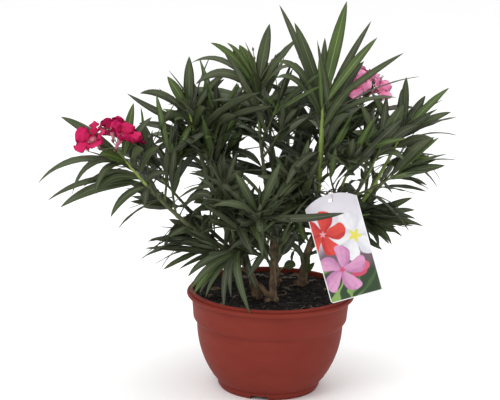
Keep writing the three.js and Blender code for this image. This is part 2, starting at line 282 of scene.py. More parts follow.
def make_piece(
    name, points, faces, materials, nodes=(), index=None, uv=None, smooth=True
):
    """Puts whole arrays into a mesh and hands it to the frame. index gives each face its material."""
    mesh = bpy.data.meshes.new(name)
    mesh.from_pydata(np.asarray(points, float).reshape(-1, 3) * MM, [], faces)
    for material in materials:
        mesh.materials.append(material)
    if index is not None:
        mesh.polygons.foreach_set("material_index", np.asarray(index, np.int32))
    if uv is not None:
        corner = np.empty(len(mesh.loops), np.int32)
        mesh.loops.foreach_get("vertex_index", corner)
        layer = mesh.uv_layers.new(name="blade")
        layer.data.foreach_set("uv", np.asarray(uv, np.float32).reshape(-1, 2)[corner].ravel())
    mesh.polygons.foreach_set("use_smooth", np.full(len(mesh.polygons), smooth))
    mesh.validate()
    made = bpy.data.objects.new(name, mesh)
    bpy.context.scene.collection.objects.link(made)
    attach(made, "root")
    if nodes:
        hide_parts(*nodes)
    return made


class Heap:
    """Rods, blades and lumps of one kind, gathered until they are joined into one piece."""

    def __init__(self):
        """Nothing gathered yet."""
        self.points = []
        self.faces = []
        self.index = []
        self.uv = []
        self.count = 0

    def add(self, points, faces, index=0, uv=None):
        """Adds a mesh whose faces count from its own first point."""
        points = np.asarray(points, float).reshape(-1, 3)
        self.points.append(points)
        self.faces += [[corner + self.count for corner in face] for face in faces]
        self.index += [index] * len(faces) if np.isscalar(index) else list(index)
        self.uv.append(np.zeros((len(points), 2)) if uv is None else np.asarray(uv).reshape(-1, 2))
        self.count += len(points)

    def add_rods(self, paths, radii, ring=8, index=0, relief=None):
        """Adds rods, closed at both ends, all of one material."""
        paths = np.asarray(paths, float)
        points = rods(paths, np.asarray(radii, float), ring, relief)
        self.add(points, rod_faces(len(paths), paths.shape[1], ring), index)

    def make(self, name, materials, slot=None, nodes=(), smooth=True):
        """Makes one piece of all that was gathered."""
        points, uv = np.concatenate(self.points), np.concatenate(self.uv)
        return make_piece(name, points, self.faces, materials, nodes, self.index, uv, smooth)


# ---------------------------------------------------------------- pot and compost
# Radii and heights. A pair is a ring's radius and height, the bowl is its widest radius, that ring's height
# and the depth of its ellipse, and the lip is its radius, the height under it and its top.
POT = {
    "pad": 50.0,
    "moat": 7.0,
    "tread": 75.0,
    "foot": (78.0, 10.0),
    "bowl": (111.5, 103.0, 130.0),
    "collar": ((117.0, 109.0), (120.0, 142.0)),
    "lip": (127.5, 142.0, 154.5),
    "roll": 3.4,
    "ribs": (22.0, 34.0, 46.0),
    "wall": 2.3,
}
NOTCH = {"count": 3, "width": 25.0, "height": 6.5, "turn": -101.0}
SOIL = {"top": 149.0, "edge": 148.0, "flat": 106.0, "chips": 900, "speck": 0.85}


def bowl_radius(z):
    """The bowl's side is part of an ellipse whose widest ring is at the bowl's top."""
    radius, top, fall = POT["bowl"]
    return radius * np.sqrt(1 - ((top - z) / fall) ** 2)


def pot_profile():
    """The pot's section: from the axis under the pad, round the foot, up the bowl, over the lip, back."""
    foot_radius, foot_height = POT["foot"]
    (low_radius, low), (high_radius, high) = POT["collar"]
    lip, under, top = POT["lip"]
    tread, moat, pad, wall, bend = (POT[name] for name in ("tread", "moat", "pad", "wall", "roll"))
    rise = np.linspace(foot_height + 0.6, POT["bowl"][1], 34)
    ribs = 0.35 * np.exp(-(((rise[:, None] - np.array(POT["ribs"])) / 0.9) ** 2)).sum(1)
    side = np.stack([bowl_radius(rise) + ribs, rise], -1)
    neck = np.linspace(low + 1.2, high - 1, 10)
    collar = np.stack([np.interp(neck, (low, high), (low_radius, high_radius)), neck], -1)
    turn = np.linspace(-0.5 * np.pi, 0.62 * np.pi, 14)
    roll = np.stack([lip - bend + bend * np.cos(turn), under + 4.6 + bend * np.sin(turn)], -1)
    inner_rise = np.linspace(POT["bowl"][1], foot_height + 3, 12)
    inner = np.stack([bowl_radius(inner_rise) - wall, inner_rise], -1)
    outside = [(0.4, 0), (pad, 0), (pad + 5, moat), (tread - 5, moat), (tread - 4, 0.5), (tread - 3.4, 0)]
    outside += [(tread - 0.6, 0), (tread, 0.6), (foot_radius - 0.4, 4.6), (foot_radius, 5.4)]
    outside += [(foot_radius, foot_height - 0.6), (foot_radius - 0.5, foot_height), *side]
    outside += [(bowl_radius(POT["bowl"][1]) + 0.7, low - 4.6), (low_radius - 1.5, low - 1.8)]
    outside += [(low_radius - 0.6, low - 0.4), *collar]
    outside += [(high_radius + 0.1, high + 0.2), (high_radius + 1, high + 0.9), *roll]
    mouth = [(high_radius + 3.4, top - 1.4), (high_radius + 2.2, top - 0.3), (high_radius + 1, top)]
    mouth += [(high_radius - 0.9, top - 0.3), (high_radius - 2, top - 1.5), (high_radius - wall, high)]
    mouth += [(low_radius - wall, low), *inner]
    mouth += [(pad + 5, moat + wall), (pad, wall + 0.5), (0.4, wall + 0.5)]
    return np.array([*outside, *mouth], float)


def make_pot(plastic):
    """The section turned about the axis, with points on both sides of each drain notch's edges."""
    profile = pot_profile()
    edge = math.asin(NOTCH["width"] / 2 / POT["tread"])
    middles = np.radians(NOTCH["turn"]) + np.arange(NOTCH["count"]) * 2 * np.pi / NOTCH["count"]
    angle = np.linspace(0, 2 * np.pi, 144, endpoint=False)
    beside = [side * edge + nudge for side in (-1, 1) for nudge in (-0.004, 0.004)]
    cuts = np.concatenate([middles + aside for aside in beside])
    angle = np.unique(np.mod(np.concatenate([angle, cuts]), 2 * np.pi))
    off_middle = np.abs(np.angle(np.exp(1j * (angle[:, None] - middles)))).min(1)
    radius, height = profile[:, 0][:, None], np.repeat(profile[:, 1][:, None], len(angle), 1)
    at_foot = (radius > POT["tread"] - 7) & (radius < POT["foot"][0] + 1)
    at_foot = at_foot & (np.arange(len(profile))[:, None] < 12)
    height = np.where(at_foot & (off_middle < edge), np.maximum(height, NOTCH["height"]), height)
    points = np.stack([radius * np.cos(angle), radius * np.sin(angle), height], -1)
    faces = rod_faces(1, len(profile), len(angle))
    pot = make_piece("moulded_pot", points, faces, [plastic], ["pot"])
    sharpen(pot, 38)


def sharpen(made, degrees):
    """Edges that turn by more than this stay crisp."""
    bpy.context.view_layer.objects.active = made
    made.select_set(True)
    bpy.ops.object.shade_smooth_by_angle(angle=math.radians(degrees), keep_sharp_edges=False)
    made.select_set(False)


def soil_height(x, y):
    """Nearly flat in the middle, falling a little to the edge, with lumps of three sizes."""
    radius = np.hypot(x, y)
    places = np.stack([x, y, np.zeros_like(x)], -1)
    fall = (SOIL["top"] - SOIL["edge"]) * np.clip((radius - SOIL["flat"]) / 10, 0, 1)
    rough = 1.3 * lumps(places, 19, 1) + 1.0 * lumps(places, 7, 2) + 0.8 * lumps(places, 3.1, 3)
    return SOIL["top"] - 0.8 - fall + rough


def make_compost(soil, bark_chip, speck, litter):
    """A disc on a polar grid whose height is the soil's, closed by a side and a floor inside the pot."""
    low_radius, high_radius, high = POT["collar"][0][0], *POT["collar"][1]
    edge = high_radius - POT["wall"] - 0.4
    radius = np.concatenate([[0.4], np.linspace(2.5, edge, 58)])[::-1, None]
    angle = np.linspace(0, 2 * np.pi, 190, endpoint=False)
    x, y = radius * np.cos(angle), radius * np.sin(angle)
    top = np.stack([x, y, soil_height(x, y)], -1)
    under = [(0.4, 60.0), *((bowl_radius(z) - 4, z) for z in (60.0, 84.0, 103.0))]
    under += [(low_radius - 4, 111.0), (high_radius - 4, high)]
    below = np.array([[[r * math.cos(a), r * math.sin(a), z] for a in angle] for r, z in under])
    points = np.concatenate([below, top])
    faces = rod_faces(1, len(points), len(angle))
    make_piece("potting_compost", points, faces, [soil], ["compost"])
    make_chips(edge, bark_chip, speck)
    make_litter(litter)


def make_chips(edge, bark_chip, speck):
    """Short spindles that lie on the compost every way: the small ones are pale specks, the rest bark."""
    count = SOIL["chips"]
    place_radius = edge * np.sqrt(random.uniform(0.0, 0.94, count))
    place_angle = random.uniform(0, 2 * np.pi, count)
    centre = np.stack([place_radius * np.cos(place_angle), place_radius * np.sin(place_angle)], -1)
    lift = soil_height(centre[:, 0], centre[:, 1])
    way = random.uniform(0, 2 * np.pi, count)
    size = random.uniform(0.8, 3.4, count) * np.where(random.random(count) < 0.25, 0.5, 1)
    across = np.linspace(-1, 1, 5)[None, :, None]
    run = np.stack([np.cos(way), np.sin(way), random.uniform(-0.3, 0.3, count)], -1)
    middle = np.concatenate([centre, lift[:, None]], -1)
    paths = middle[:, None] + run[:, None] * across * size[:, None, None]
    girth = np.sqrt(np.clip(1.08 - across[..., 0] ** 2, 0.05, 1)) * size[:, None] * 0.42
    pale = size < SOIL["speck"]
    for name, chosen, finish in (("bark_chips", ~pale, bark_chip), ("perlite_specks", pale, speck)):
        heap = Heap()
        heap.add_rods(paths[chosen], girth[chosen], ring=6, relief=lambda p: 0.25 * lumps(p, 1.4, 9))
        heap.make(name, [finish], "compost", smooth=False)


# Dry leaves and bark flakes on the compost: place across and back, the way each lies in degrees, its length
# and its width.
LITTER = (
    (52, -88, 24, 19, 7), (58, -84, -38, 12, 6), (-38, -96, 8, 15, 4), (-72, -82, 95, 11, 6),
    (-6, -102, 60, 10, 4), (28, 72, 10, 26, 8), (44, 84, -16, 30, 9), (12, 88, 30, 24, 8),
    (-14, 78, -24, 28, 9), (-40, 66, 18, 26, 8), (-60, 40, 70, 22, 8), (-84, 4, 30, 20, 7),
    (66, 58, 42, 22, 7), (84, 8, 80, 16, 6), (-20, 18, 12, 24, 7), (24, 10, -50, 20, 6),
    (-52, -40, 50, 16, 6), (70, -40, 12, 9, 5), (30, -66, -20, 8, 5), (-90, -40, 60, 14, 6),
)
# Old roots: start, the middle that the curve leans to, and end, across and back.
OLD_ROOTS = (
    ((3, -34), (34, -30), (18, 6)), ((-22, -30), (-40, -44), (-36, -52)), ((46, 40), (30, 22), (26, 30)),
)


def make_litter(litter):
    """Curled dry blades that rest on the compost, and thin old roots that loop over it near the stems."""
    x, y, way, length, width = np.array(LITTER, float).T
    turn = np.radians(way)
    run = np.stack([np.cos(turn), np.sin(turn), np.zeros_like(way)], -1)
    middle = np.stack([x, y, soil_height(x, y) + 1.6], -1)
    foot, tip = middle - run * length[:, None] / 2, middle + run * length[:, None] / 2
    bend = middle - DOWN * random.uniform(0.5, 3.5, (len(x), 1))
    axis = np.repeat(-DOWN[None], len(x), 0) + random.normal(0, 0.3, (len(x), 3))
    heap = Heap()
    points, _ = blades(foot, bend, tip, axis, width / 2, fold=0.35, curl=0.1, wave=0.3)
    heap.add(points, rod_faces(len(x), BLADE_ROWS, len(ACROSS)))
    for start, high, end in OLD_ROOTS:
        along = np.linspace(0, 1, 22)[:, None]
        path = curve_of(np.array(start), np.array(high), np.array(end), along)
        height = soil_height(path[:, :1], path[:, 1:2]) + 14 * along * (1 - along)
        path = np.concatenate([path, height], -1)
        heap.add_rods(path[None], np.full((1, 22), 0.95), 7, relief=lambda p: 0.15 * lumps(p, 2, 12))
    heap.make("dry_litter", [litter], "compost")


# ---------------------------------------------------------------- limbs
def node_points(name):
    """The corners of a node's triangles, three by three."""
    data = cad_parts[name].data
    points = np.empty(len(data.vertices) * 3)
    corner = np.empty(len(data.loops), np.int32)
    data.vertices.foreach_get("co", points)
    data.loops.foreach_get("vertex_index", corner)
    return points.reshape(-1, 3)[corner] / MM


def tree_of(names):
    """What rays are cast against: the triangles of some nodes."""
    points = np.concatenate([node_points(name) for name in names])
    return BVHTree.FromPolygons(points.tolist(), np.arange(len(points)).reshape(-1, 3).tolist())


def limb_line(name, start_near=None, rows=24):
    """A limb's centreline and radii: cubics in the share of its chord, fitted to the solid's corners."""
    points = node_points(name)
    chord = np.linalg.svd(points - points.mean(0), full_matrices=False)[2][0]
    share = points @ chord
    ends = [points[np.argmin(share)], points[np.argmax(share)]]
    if start_near is None:
        turned = ends[0][2] > ends[1][2]
    else:
        turned = gap_to(start_near, ends[0]) > gap_to(start_near, ends[1])
    share = -share if turned else share
    share = (share - share.min()) / np.ptp(share)
    cubic = [np.polyfit(share, points[:, axis], 3) for axis in range(3)]
    even = np.linspace(0, 1, rows)
    line = np.stack([np.polyval(c, even) for c in cubic], -1)
    off = np.linalg.norm(points - np.stack([np.polyval(c, share) for c in cubic], -1), axis=1)
    off = np.where(off > 1.2, off, np.nan)
    girth = np.array([np.nanmedian(off[np.abs(share - s) < 0.2]) for s in even])
    return line, girth


def gap_to(lines, point):
    """The least distance from a point to the rows of some lines."""
    return np.linalg.norm(lines - point, axis=-1).min()


def even_steps(line, girth, step):
    """The same path with its rows an even step apart, and the distance of each row from the start."""
    run = np.concatenate([[0], np.cumsum(np.linalg.norm(np.diff(line, axis=0), axis=1))])
    even = np.linspace(0, run[-1], max(6, int(run[-1] / step)))
    path = np.stack([np.interp(even, run, line[:, axis]) for axis in range(3)], -1)
    return path, np.interp(even, run, girth), even


def room_along(start, way, most=190.0, hop=12.0, approach=45.0):
    """How far a leaf can run from start before it leaves the masses. Gaps between two masses are hopped."""
    origin, heading = Vector(start), Vector(way)
    blocked = solid_tree.ray_cast(origin + heading * 4, heading, most)[3]
    limit = most if blocked is None else blocked
    travelled, inside_to = 0.0, 0.0
    for _ in range(24):
        hit = mass_tree.ray_cast(origin + heading * travelled, heading, most)
        if hit[3] is None:
            break
        leaving = hit[1].dot(heading) > 0
        if not leaving and travelled + hit[3] - inside_to > (hop if inside_to else approach):
            break
        travelled += hit[3] + 0.02
        if leaving:
            inside_to = travelled
    return min(inside_to, limit)


def way_round(axis, count, phase):
    """Unit ways at even steps round an axis."""
    first = square_to(np.array([0.31, 0.2, 0.9]), axis)
    second = np.cross(axis, first)
    angle = phase + np.arange(count) * 2 * np.pi / count
    return np.cos(angle)[:, None] * first + np.sin(angle)[:, None] * second


# Flowers: the middle measured across, back and up from their shoot's tip, the way it faces, its radius, how
# far it is open and its turn. Buds: the foot from the tip, and the way it points.
MAGENTA_BLOOMS = (
    ((-36, -14, 20), (-0.4, -0.66, 0.66), 26, 1.2, 0.3),
    ((4, -8, 24), (0.4, -0.3, 0.8), 26, 1.0, 0.9),
    ((-12, 30, 26), (-0.1, 0.75, 0.6), 22, 1.3, 0.1),
    ((14, 20, 22), (0.8, 0.3, 0.5), 22, 1.25, 0.5),
)
PINK_BLOOMS = (
    ((-8, -16, 31), (-0.2, -0.85, 0.5), 24, 1.4, 1.0),
    ((24, -8, 24), (0.7, -0.5, 0.5), 22, 1.15, 0.2),
    ((2, 24, 34), (0.1, 0.7, 0.7), 23, 1.3, 0.6),
)
MAGENTA_BUDS = (
    ((-12, -4, 40), (-0.2, -0.2, 1)), ((2, -10, 30), (0.3, -0.6, 0.8)), ((-4, 12, 38), (0, 0.4, 1)),
)
PINK_BUDS = (((6, 2, 40), (0.1, 0, 1)), ((14, 8, 36), (0.4, 0.2, 1)))
# Bark that shows between the leaves: from how far to how far below the shoot's tip it is kept clear, and
# the share of the shoot, from the foot up, whose bark is already ripe.
SHOWN_BARK = {
    "tall_right": (6, 120, 0.2),
    "right_outer": (40, 150, 0.2),
    "left_flower": (14, 62, 0.74),
    "upper_left": (8, 34, 0.84),
}
USUAL_RIPE = 0.7
# Where a shoot's growing tip stands, as a share of the way from its bough's end through its mass.
TIP_SHARE = {
    "tall_right": 0.29, "left_flower": 0.66, "right_inner": 0.43, "upper_left": 0.47, "centre_front": 0.4,
}
USUAL_TIP_SHARE = 0.56
WHORL_DISTANCES = np.array([2, 9, 19, 31, 45, 60, 76, 93, 111, 130, 150, 171, 193, 216])
ROW = 1.6
# The branching rule: how far below the tip the first twig may leave and how far apart they stand, how far
# each opens, the least room it needs, its greatest length, how much it rises, its radius at foot and tip,
# the length of its foot that has no leaves, and how many ways it may go.
TWIG = {
    "first": (72, 98), "apart": (20, 32), "opening": (0.6, 1.05), "room": 58, "longest": 74, "rise": 0.16,
    "girth": (1.9, 1.0), "bare": 7.0, "ways": 8,
}


def make_shoot(name, stem_rows):
    """A shoot is its bough's line, carried on straight through its mass to the growing tip."""
    line, girth = limb_line(f"bough_{name}", stem_rows)
    heading = unit(line[-1] - line[-4])
    own_mass = tree_of([f"foliage_{name}"])
    start = Vector(line[-1] + heading)
    hit = own_mass.ray_cast(start, Vector(heading))
    through = hit[3] if hit[3] else 60.0
    length = max(16.0, through * TIP_SHARE.get(name, USUAL_TIP_SHARE))
    ahead = np.linspace(0, 1, 9)[1:, None]
    bend = square_to(-DOWN, heading) * (0.06 * length * ahead**2)
    head = line[-1] + heading * length * ahead + bend
    foot = line[:1] - unit(line[1] - line[0]) * 5
    line = np.concatenate([foot, line, head])
    girth = np.concatenate([girth[:1], girth, np.interp(ahead[:, 0], (0, 1), (girth[-1], 1.1))])
    path, girth, run = even_steps(line, girth, ROW)
    owner = min(stem_lines, key=lambda stem: gap_to(stem_lines[stem][0], line[1]))
    owner = owner.removeprefix("stem_")
    return {"path": path, "girth": girth, "from_tip": run[-1] - run, "stem": owner, "bare": 0.12 * run[-1]}


def side_shoots(parent):
    """The branching rule: every so far down a shoot a twig leaves it, towards the most open of eight ways.

    A twig opens from its parent by a seeded angle, turns up towards the light and stops part of the way
    through the foliage that it has before it.
    """
    twigs = []
    below = random.uniform(*TWIG["first"])
    while below < parent["from_tip"][0] * 0.85:
        at = int(np.argmin(np.abs(parent["from_tip"] - below)))
        start = parent["path"][at]
        axis = unit(parent["path"][min(at + 2, len(parent["path"]) - 1)] - start)
        opening = random.uniform(*TWIG["opening"])
        round_axis = way_round(axis, TWIG["ways"], random.uniform(0, 0.8))
        ways = round_axis * np.sin(opening) + axis * np.cos(opening)
        rooms = np.array([room_along(start, way) for way in unit(ways)])
        chosen = int(np.argmax(rooms * random.uniform(0.6, 1.0, TWIG["ways"])))
        below += random.uniform(*TWIG["apart"])
        if rooms[chosen] < TWIG["room"]:
            continue
        length = min(0.5 * rooms[chosen], TWIG["longest"]) * random.uniform(0.8, 1.0)
        even = np.linspace(0, 1, 12)[:, None]
        path = start + ways[chosen] * length * even - DOWN * TWIG["rise"] * length * even**2
        path, girth, run = even_steps(path, np.interp(even[:, 0], (0, 1), TWIG["girth"]), ROW)
        twig = {"path": path, "girth": girth, "from_tip": run[-1] - run}
        twigs.append({**twig, "stem": parent["stem"], "bare": TWIG["bare"]})
    return twigs


STEM_NAMES = sorted(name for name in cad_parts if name.startswith("stem_"))
BOUGH_NAMES = sorted(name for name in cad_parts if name.startswith("bough_"))
SHOOT_NAMES = [name.removeprefix("bough_") for name in BOUGH_NAMES]
stem_lines = {name: limb_line(name) for name in STEM_NAMES}
all_stem_rows = np.concatenate([line for line, _ in stem_lines.values()])
mass_tree = tree_of([f"foliage_{name}" for name in SHOOT_NAMES])
solid_tree = tree_of(["pot", "compost", "picture_card"] + STEM_NAMES)
shoots = {name: make_shoot(name, all_stem_rows) for name in SHOOT_NAMES}
twigs = {name: side_shoots(shoot) for name, shoot in shoots.items()}

# Thin late shoots low on the stems: stem, share of its height, the way it points, length, and its leaves
# (in the terms of LEADING).
SPROUTS = (
    ("right", 0.25, (-15, -10, 88), 88, (
        (0, -10, -6, 34, 8, 0.1, "full"), (2, 22, -8, 24, 9, 0.1, "young"),
        (12, -34, -6, 10, 9, 0.2, "old"), (30, -30, -8, -44, 9, 0.3, "old"),
        (44, 16, -8, -30, 8, 0.2, "old"),
    )),
    ("right", 0.12, (8, -16, 20), 20, (
        (0, 3, -6, 34, 9, 0.05, "young"), (4, 12, -8, 18, 8, 0.1, "young"),
    )),
    ("front", 0.42, (15, 6, 11), 20, (
        (0, 18, -2, 2, 17, 0.3, "full"),
    )),
    ("front", 0.5, (26, 10, 44), 50, (
        (0, 24, 0, -6, 9, 0.2, "old"), (10, -4, -4, 34, 9, 0.1, "old"),
        (6, 22, 0, -36, 9, 0.3, "old"), (3, 34, 6, 8, 8, 0.2, "full"),
        (26, 8, 0, 8, 13, 0.1, "old"), (34, -16, 0, 20, 11, 0.2, "full"),
    )),
    ("right", 0.6, (-24, -4, 6), 28, (
        (0, -14, 0, 8, 8, 0.2, "old"), (8, 4, -2, -26, 7, 0.3, "old"),
    )),
    ("left", 0.4, (-26, -14, 20), 46, (
        (0, -30, -6, 8, 11, 0.2, "full"), (4, -34, -10, -22, 10, 0.3, "old"),
        (10, -8, -14, -38, 10, 0.3, "old"), (16, 10, -18, 16, 10, 0.2, "full"),
    )),
)


def make_sprouts():
    """A sprout is a thin rod that turns up a little: a straight line + up * 0.1 * length * u^2."""
    made = []
    along = np.linspace(0, 1, 30)
    for stem, share, way, length, leaves in SPROUTS:
        line, _ = stem_lines[f"stem_{stem}"]
        start = line[int(share * (len(line) - 1))]
        path = straight(start, way, length, along[:, None]) - DOWN * 0.1 * length * along[:, None] ** 2
        sprout = {"path": path, "girth": np.interp(along, (0, 1), (1.4, 0.8))}
        made.append({**sprout, "from_tip": length * (1 - along), "stem": stem, "leaves": leaves})
    return made


sprouts = make_sprouts()

# Pruned stubs and old leafless shoots: stem, share of its height, the way it points, length and radius.
STUBS = (
    ("stem_front", 0.0, (-20, 4, 24), 34, 4.2),
    ("stem_front", 0.0, (-14, -10, 5), 14, 4.4),
    ("stem_front", 0.0, (10, -12, 9), 11, 4.2),
    ("stem_front", 0.0, (-12, -6, 16), 16, 3.4),
    ("stem_left", 0.0, (-9, -10, 14), 16, 3.2),
    ("stem_left", 0.0, (6, -10, 10), 13, 3.0),
    ("stem_right", 0.0, (-12, -9, 10), 15, 3.6),
    ("stem_right", 0.0, (12, -6, 9), 13, 3.2),
    ("stem_right", 0.3, (-14, -6, 10), 9, 2.0),
    ("stem_back", 0.0, (11, -5, 15), 18, 3.1),
)


def bark_relief(places):
    """Long ridges and short cracks: noise drawn out along Z, with finer noise on it."""
    drawn = places * np.array([1, 1, 0.3])
    return 0.42 * lumps(drawn, 3.1, 4) + 0.22 * lumps(drawn, 1.3, 5) + 0.5 * lumps(places, 9, 6)


def green_relief(places):
    """Faint long lumps on young bark."""
    return 0.12 * lumps(places * (1, 1, 0.3), 2.4, 8)


# A stem that is drawn slimmer than its solid, as a share of its radius.
SLIMMER = {"stem_front": 0.87}


def make_stems(bark):
    """Each stem is a rod along its centreline with a low ring at every leaf scar, and its stubs on it."""
    heap = Heap()
    for name in STEM_NAMES:
        line, girth = stem_lines[name]
        foot = line[:1] + DOWN * 5
        line_down, girth_down = np.concatenate([foot, line]), np.concatenate([girth[:1], girth])
        path, girth, run = even_steps(line_down, girth_down, 1.0)
        scars = 0.5 * np.exp(-(((run - 9) % 15 - 7.5) ** 2) / 4)
        girth = (girth + scars) * SLIMMER.get(name, 1)
        girth[-4:] *= (0.97, 0.9, 0.76, 0.5)
        heap.add_rods(path[None], girth[None], 30, relief=bark_relief)
        for stem, share, way, length, radius in STUBS:
            if stem != name:
                continue
            start = line[int(share * (len(line) - 1))]
            along = np.linspace(0, 1, 20)[:, None]
            stub = straight(start, way, length, along) + DOWN * 0.06 * length * along**2
            taper = radius * np.interp(along[:, 0], (0, 0.15, 0.8, 0.95, 1), (1.35, 1.0, 1.05, 0.95, 0.6))
            heap.add_rods(stub[None], taper[None], 16, relief=bark_relief)
    heap.make("woody_stems", [bark], "woody_stem", STEM_NAMES)


def make_boughs(bright, ripening, green):
    """Each shoot is a rod that swells where the whorls stand; its lower part has a riper bark.

    The shoots whose bark shows are a little thicker, and bright above the riper part.
    """
    heap = Heap()
    thin = sum(twigs.values(), []) + sprouts
    for name, shoot in [*shoots.items(), *(("thin", twig) for twig in thin)]:
        nodes = np.exp(-(((shoot["from_tip"][:, None] - WHORL_DISTANCES) / 1.8) ** 2)).sum(1)
        girth = shoot["girth"] * (1.05 + 0.2 * nodes + (0.16 if name in SHOWN_BARK else 0))
        rows, ring = len(girth), 12
        ripe = SHOWN_BARK[name][2] if name in SHOWN_BARK else USUAL_RIPE
        fresh = 0 if name in SHOWN_BARK else 2
        age = np.repeat(np.where(np.arange(rows - 1) < ripe * rows, 1, fresh), ring)
        before = len(heap.index)
        heap.add_rods(shoot["path"][None], girth[None], ring, relief=green_relief)
        heap.index[before : before + len(age)] = age.tolist()
    heap.make("green_boughs", [bright, ripening, green], "green_bough", BOUGH_NAMES)


# ---------------------------------------------------------------- leaves
# A blade's section is a ring of ten points: where each stands across, and how far from the middle layer.
BLADE_ROWS = 14
RIB = 0.06
ACROSS = np.array([-1, -0.55, -RIB, RIB, 0.55, 1, 0.55, RIB, -RIB, -0.55])
LAYER = np.array([0, 1, 0.7, 0.7, 1, 0, -1, -2.4, -2.4, -1]) / 2


def lance(share):
    """A leaf's outline: a narrow stalk, then a lance whose widest place is a little past the middle."""
    full = (4 * share**0.92 * (1 - share**0.92)).clip(0) ** 0.82
    return np.maximum(full * np.interp(share, (0, 0.13), (0.12, 1)), 0.035)


def spoon(share):
    """A petal's outline: a narrow claw that widens to a round end."""
    claw = 0.3 + 0.7 * np.clip(share / 0.62, 0, 1) ** 1.4
    end = np.sqrt(np.clip(1 - (np.clip(share - 0.66, 0, 1) / 0.345) ** 2, 0.0, 1))
    return np.maximum(claw * end, 0.05)


def blades(
    foot, bend, tip, axis, half_width, outline=lance, fold=0.25, curl=0.1, roll=0.0, wave=0.0, thick=0.5
):
    """Many thin closed blades at once, each a ring of ten points carried along a curve of three points.

    The width lies square to the curve and to the shoot's axis, turned by roll; the two halves rise by fold
    times the distance from the midrib, fall by curl times its square, and their edges wave.
    """
    count = len(foot)
    half_width, fold, curl, roll, wave, thick = (
        np.broadcast_to(np.asarray(value, float), (count,))[:, None]
        for value in (half_width, fold, curl, roll, wave, thick)
    )
    even = np.linspace(0, 1, BLADE_ROWS)
    share = (0.5 * even + 0.25 * (1 - np.cos(np.pi * even)))[None, :, None]
    path = curve_of(foot[:, None], bend[:, None], tip[:, None], share)
    along = unit((1 - share) * (bend - foot)[:, None] + share * (tip - bend)[:, None])
    side = square_to(np.repeat(np.cross(tip - foot, axis)[:, None], BLADE_ROWS, 1), along)
    face = np.cross(side, along)
    turn = (roll * (0.4 + 0.6 * share[..., 0]))[..., None]
    side, face = side * np.cos(turn) + face * np.sin(turn), face * np.cos(turn) - side * np.sin(turn)
    width = half_width * outline(share[..., 0])
    reach = width[..., None] * ACROSS
    ripple = np.sin(share * 19 + 7 * np.arange(count)[:, None, None] + 2 * np.sign(ACROSS))
    lift = fold[..., None] * np.abs(reach) - curl[..., None] * np.abs(reach * ACROSS)
    lift = lift + wave[..., None] * np.abs(reach * ACROSS) * ripple
    stalk = 1 + 2.2 * np.exp(-share / 0.05)
    lift = lift + LAYER * (thick[..., None] * stalk) * np.where(share > 0.97, 0.5, 1)
    points = path[:, :, None] + side[:, :, None] * reach[..., None] + face[:, :, None] * lift[..., None]
    over_width = np.broadcast_to(0.5 + 0.5 * ACROSS, reach.shape)
    uv = np.stack([over_width, np.broadcast_to(share, reach.shape)], -1)
    return points, uv


# For each kind of leaf: the numbers of its face, underside and midrib in the list of leaf materials.
OLD, FULL, YOUNG = (0, 3, 5), (1, 3, 5), (2, 4, 6)
LEAF_KINDS = {"old": OLD, "full": FULL, "young": YOUNG, "side": FULL, "edge": OLD, "grey": OLD}
# A leading leaf turns its upper face to the front, except these: seen aslant, on edge, or from below.
SHOWN = {"side": 0.45, "edge": 0.0, "grey": -1.0}
# A grown leaf's habit by its distance below the tip: the angle it opens by in degrees, its length, and how
# much its outer half hangs.
OPENING = ((0, 15, 40, 70, 110), (12, 34, 52, 62, 72))
LENGTH = ((0, 6, 15, 30, 60), (40, 70, 104, 130, 144))
DROOP = ((0, 20, 60, 110), (0.05, 0.45, 1.15, 1.7))
# Above this height leaves stand in the light: more are full green, they are broader, and only there are
# some of the leaves nearest a tip young. Breadth is half the width as a share of the length.
LIT_ABOVE = 330.0
LIGHT = {"full": 0.42, "breadth": 0.068}
SHADE = {"full": 0.22, "breadth": 0.056}
YOUNG_WITHIN, YOUNG_SHARE = 20, 0.45
# How far a leaf may reach past the masses, the least share of its natural length that it must find room for,
# and the length past which leaves get no broader.
PAST_MASSES = 5
LEAST_SHARE = 0.42
BROADEST = 124
# The share of its leaves that a shoot keeps where the crown is open. They are slimmer too.
OPEN_SHOOTS = {
    "left_flower": 0.9, "right_outer": 0.36, "far_right": 0.4, "low_right": 0.5, "pink_flower": 0.8,
}
FRONT = np.array([0.0, -0.96, 0.28])
# How far a leaf may turn about its own length, in radians (one standard deviation).
PLACED_TURN = 0.28
GROWN_TURN = 0.7


def blade_index(kinds):
    """The material of each face: five strips on top, of which the third is the midrib, and five below."""
    face, under, rib = np.array(kinds).T[:, :, None]
    strips = np.concatenate([face, face, rib, face, face, under, under, rib, under, under], 1)
    quads = np.repeat(strips[:, None], BLADE_ROWS - 1, 1).reshape(-1)
    return np.concatenate([quads, under[:, 0], face[:, 0]])


def leaf_course(foot, axis, out, opening, length, droop):
    """A leaf's bend and tip: it opens from the axis, and its outer half hangs by droop."""
    start = np.cos(opening) * axis + np.sin(opening) * out
    end = unit(start + droop * DOWN)
    bend = foot + start * length * 0.5
    return bend, bend + end * length * 0.5


def whorl(shoot, distance, phase):
    """Three leaves' feet, axes and outward ways where a whorl stands, at a distance from the tip."""
    at = int(np.argmin(np.abs(shoot["from_tip"] - distance)))
    low, high = shoot["path"][max(at - 2, 0)], shoot["path"][min(at + 2, len(shoot["path"]) - 1)]
    axis = unit(high - low)
    guide = (0.2, 0.1, 1.0) if abs(axis[2]) < 0.8 else (1.0, 0.2, 0.0)
    first = square_to(np.array(guide), axis)
    second = np.cross(axis, first)
    angle = phase + np.arange(3) * 2 * np.pi / 3 + random.normal(0, 0.12, 3)
    out = np.cos(angle)[:, None] * first + np.sin(angle)[:, None] * second
    foot = shoot["path"][at] + out * shoot["girth"][at] * 0.6
    return foot, np.repeat(axis[None], 3, 0), out


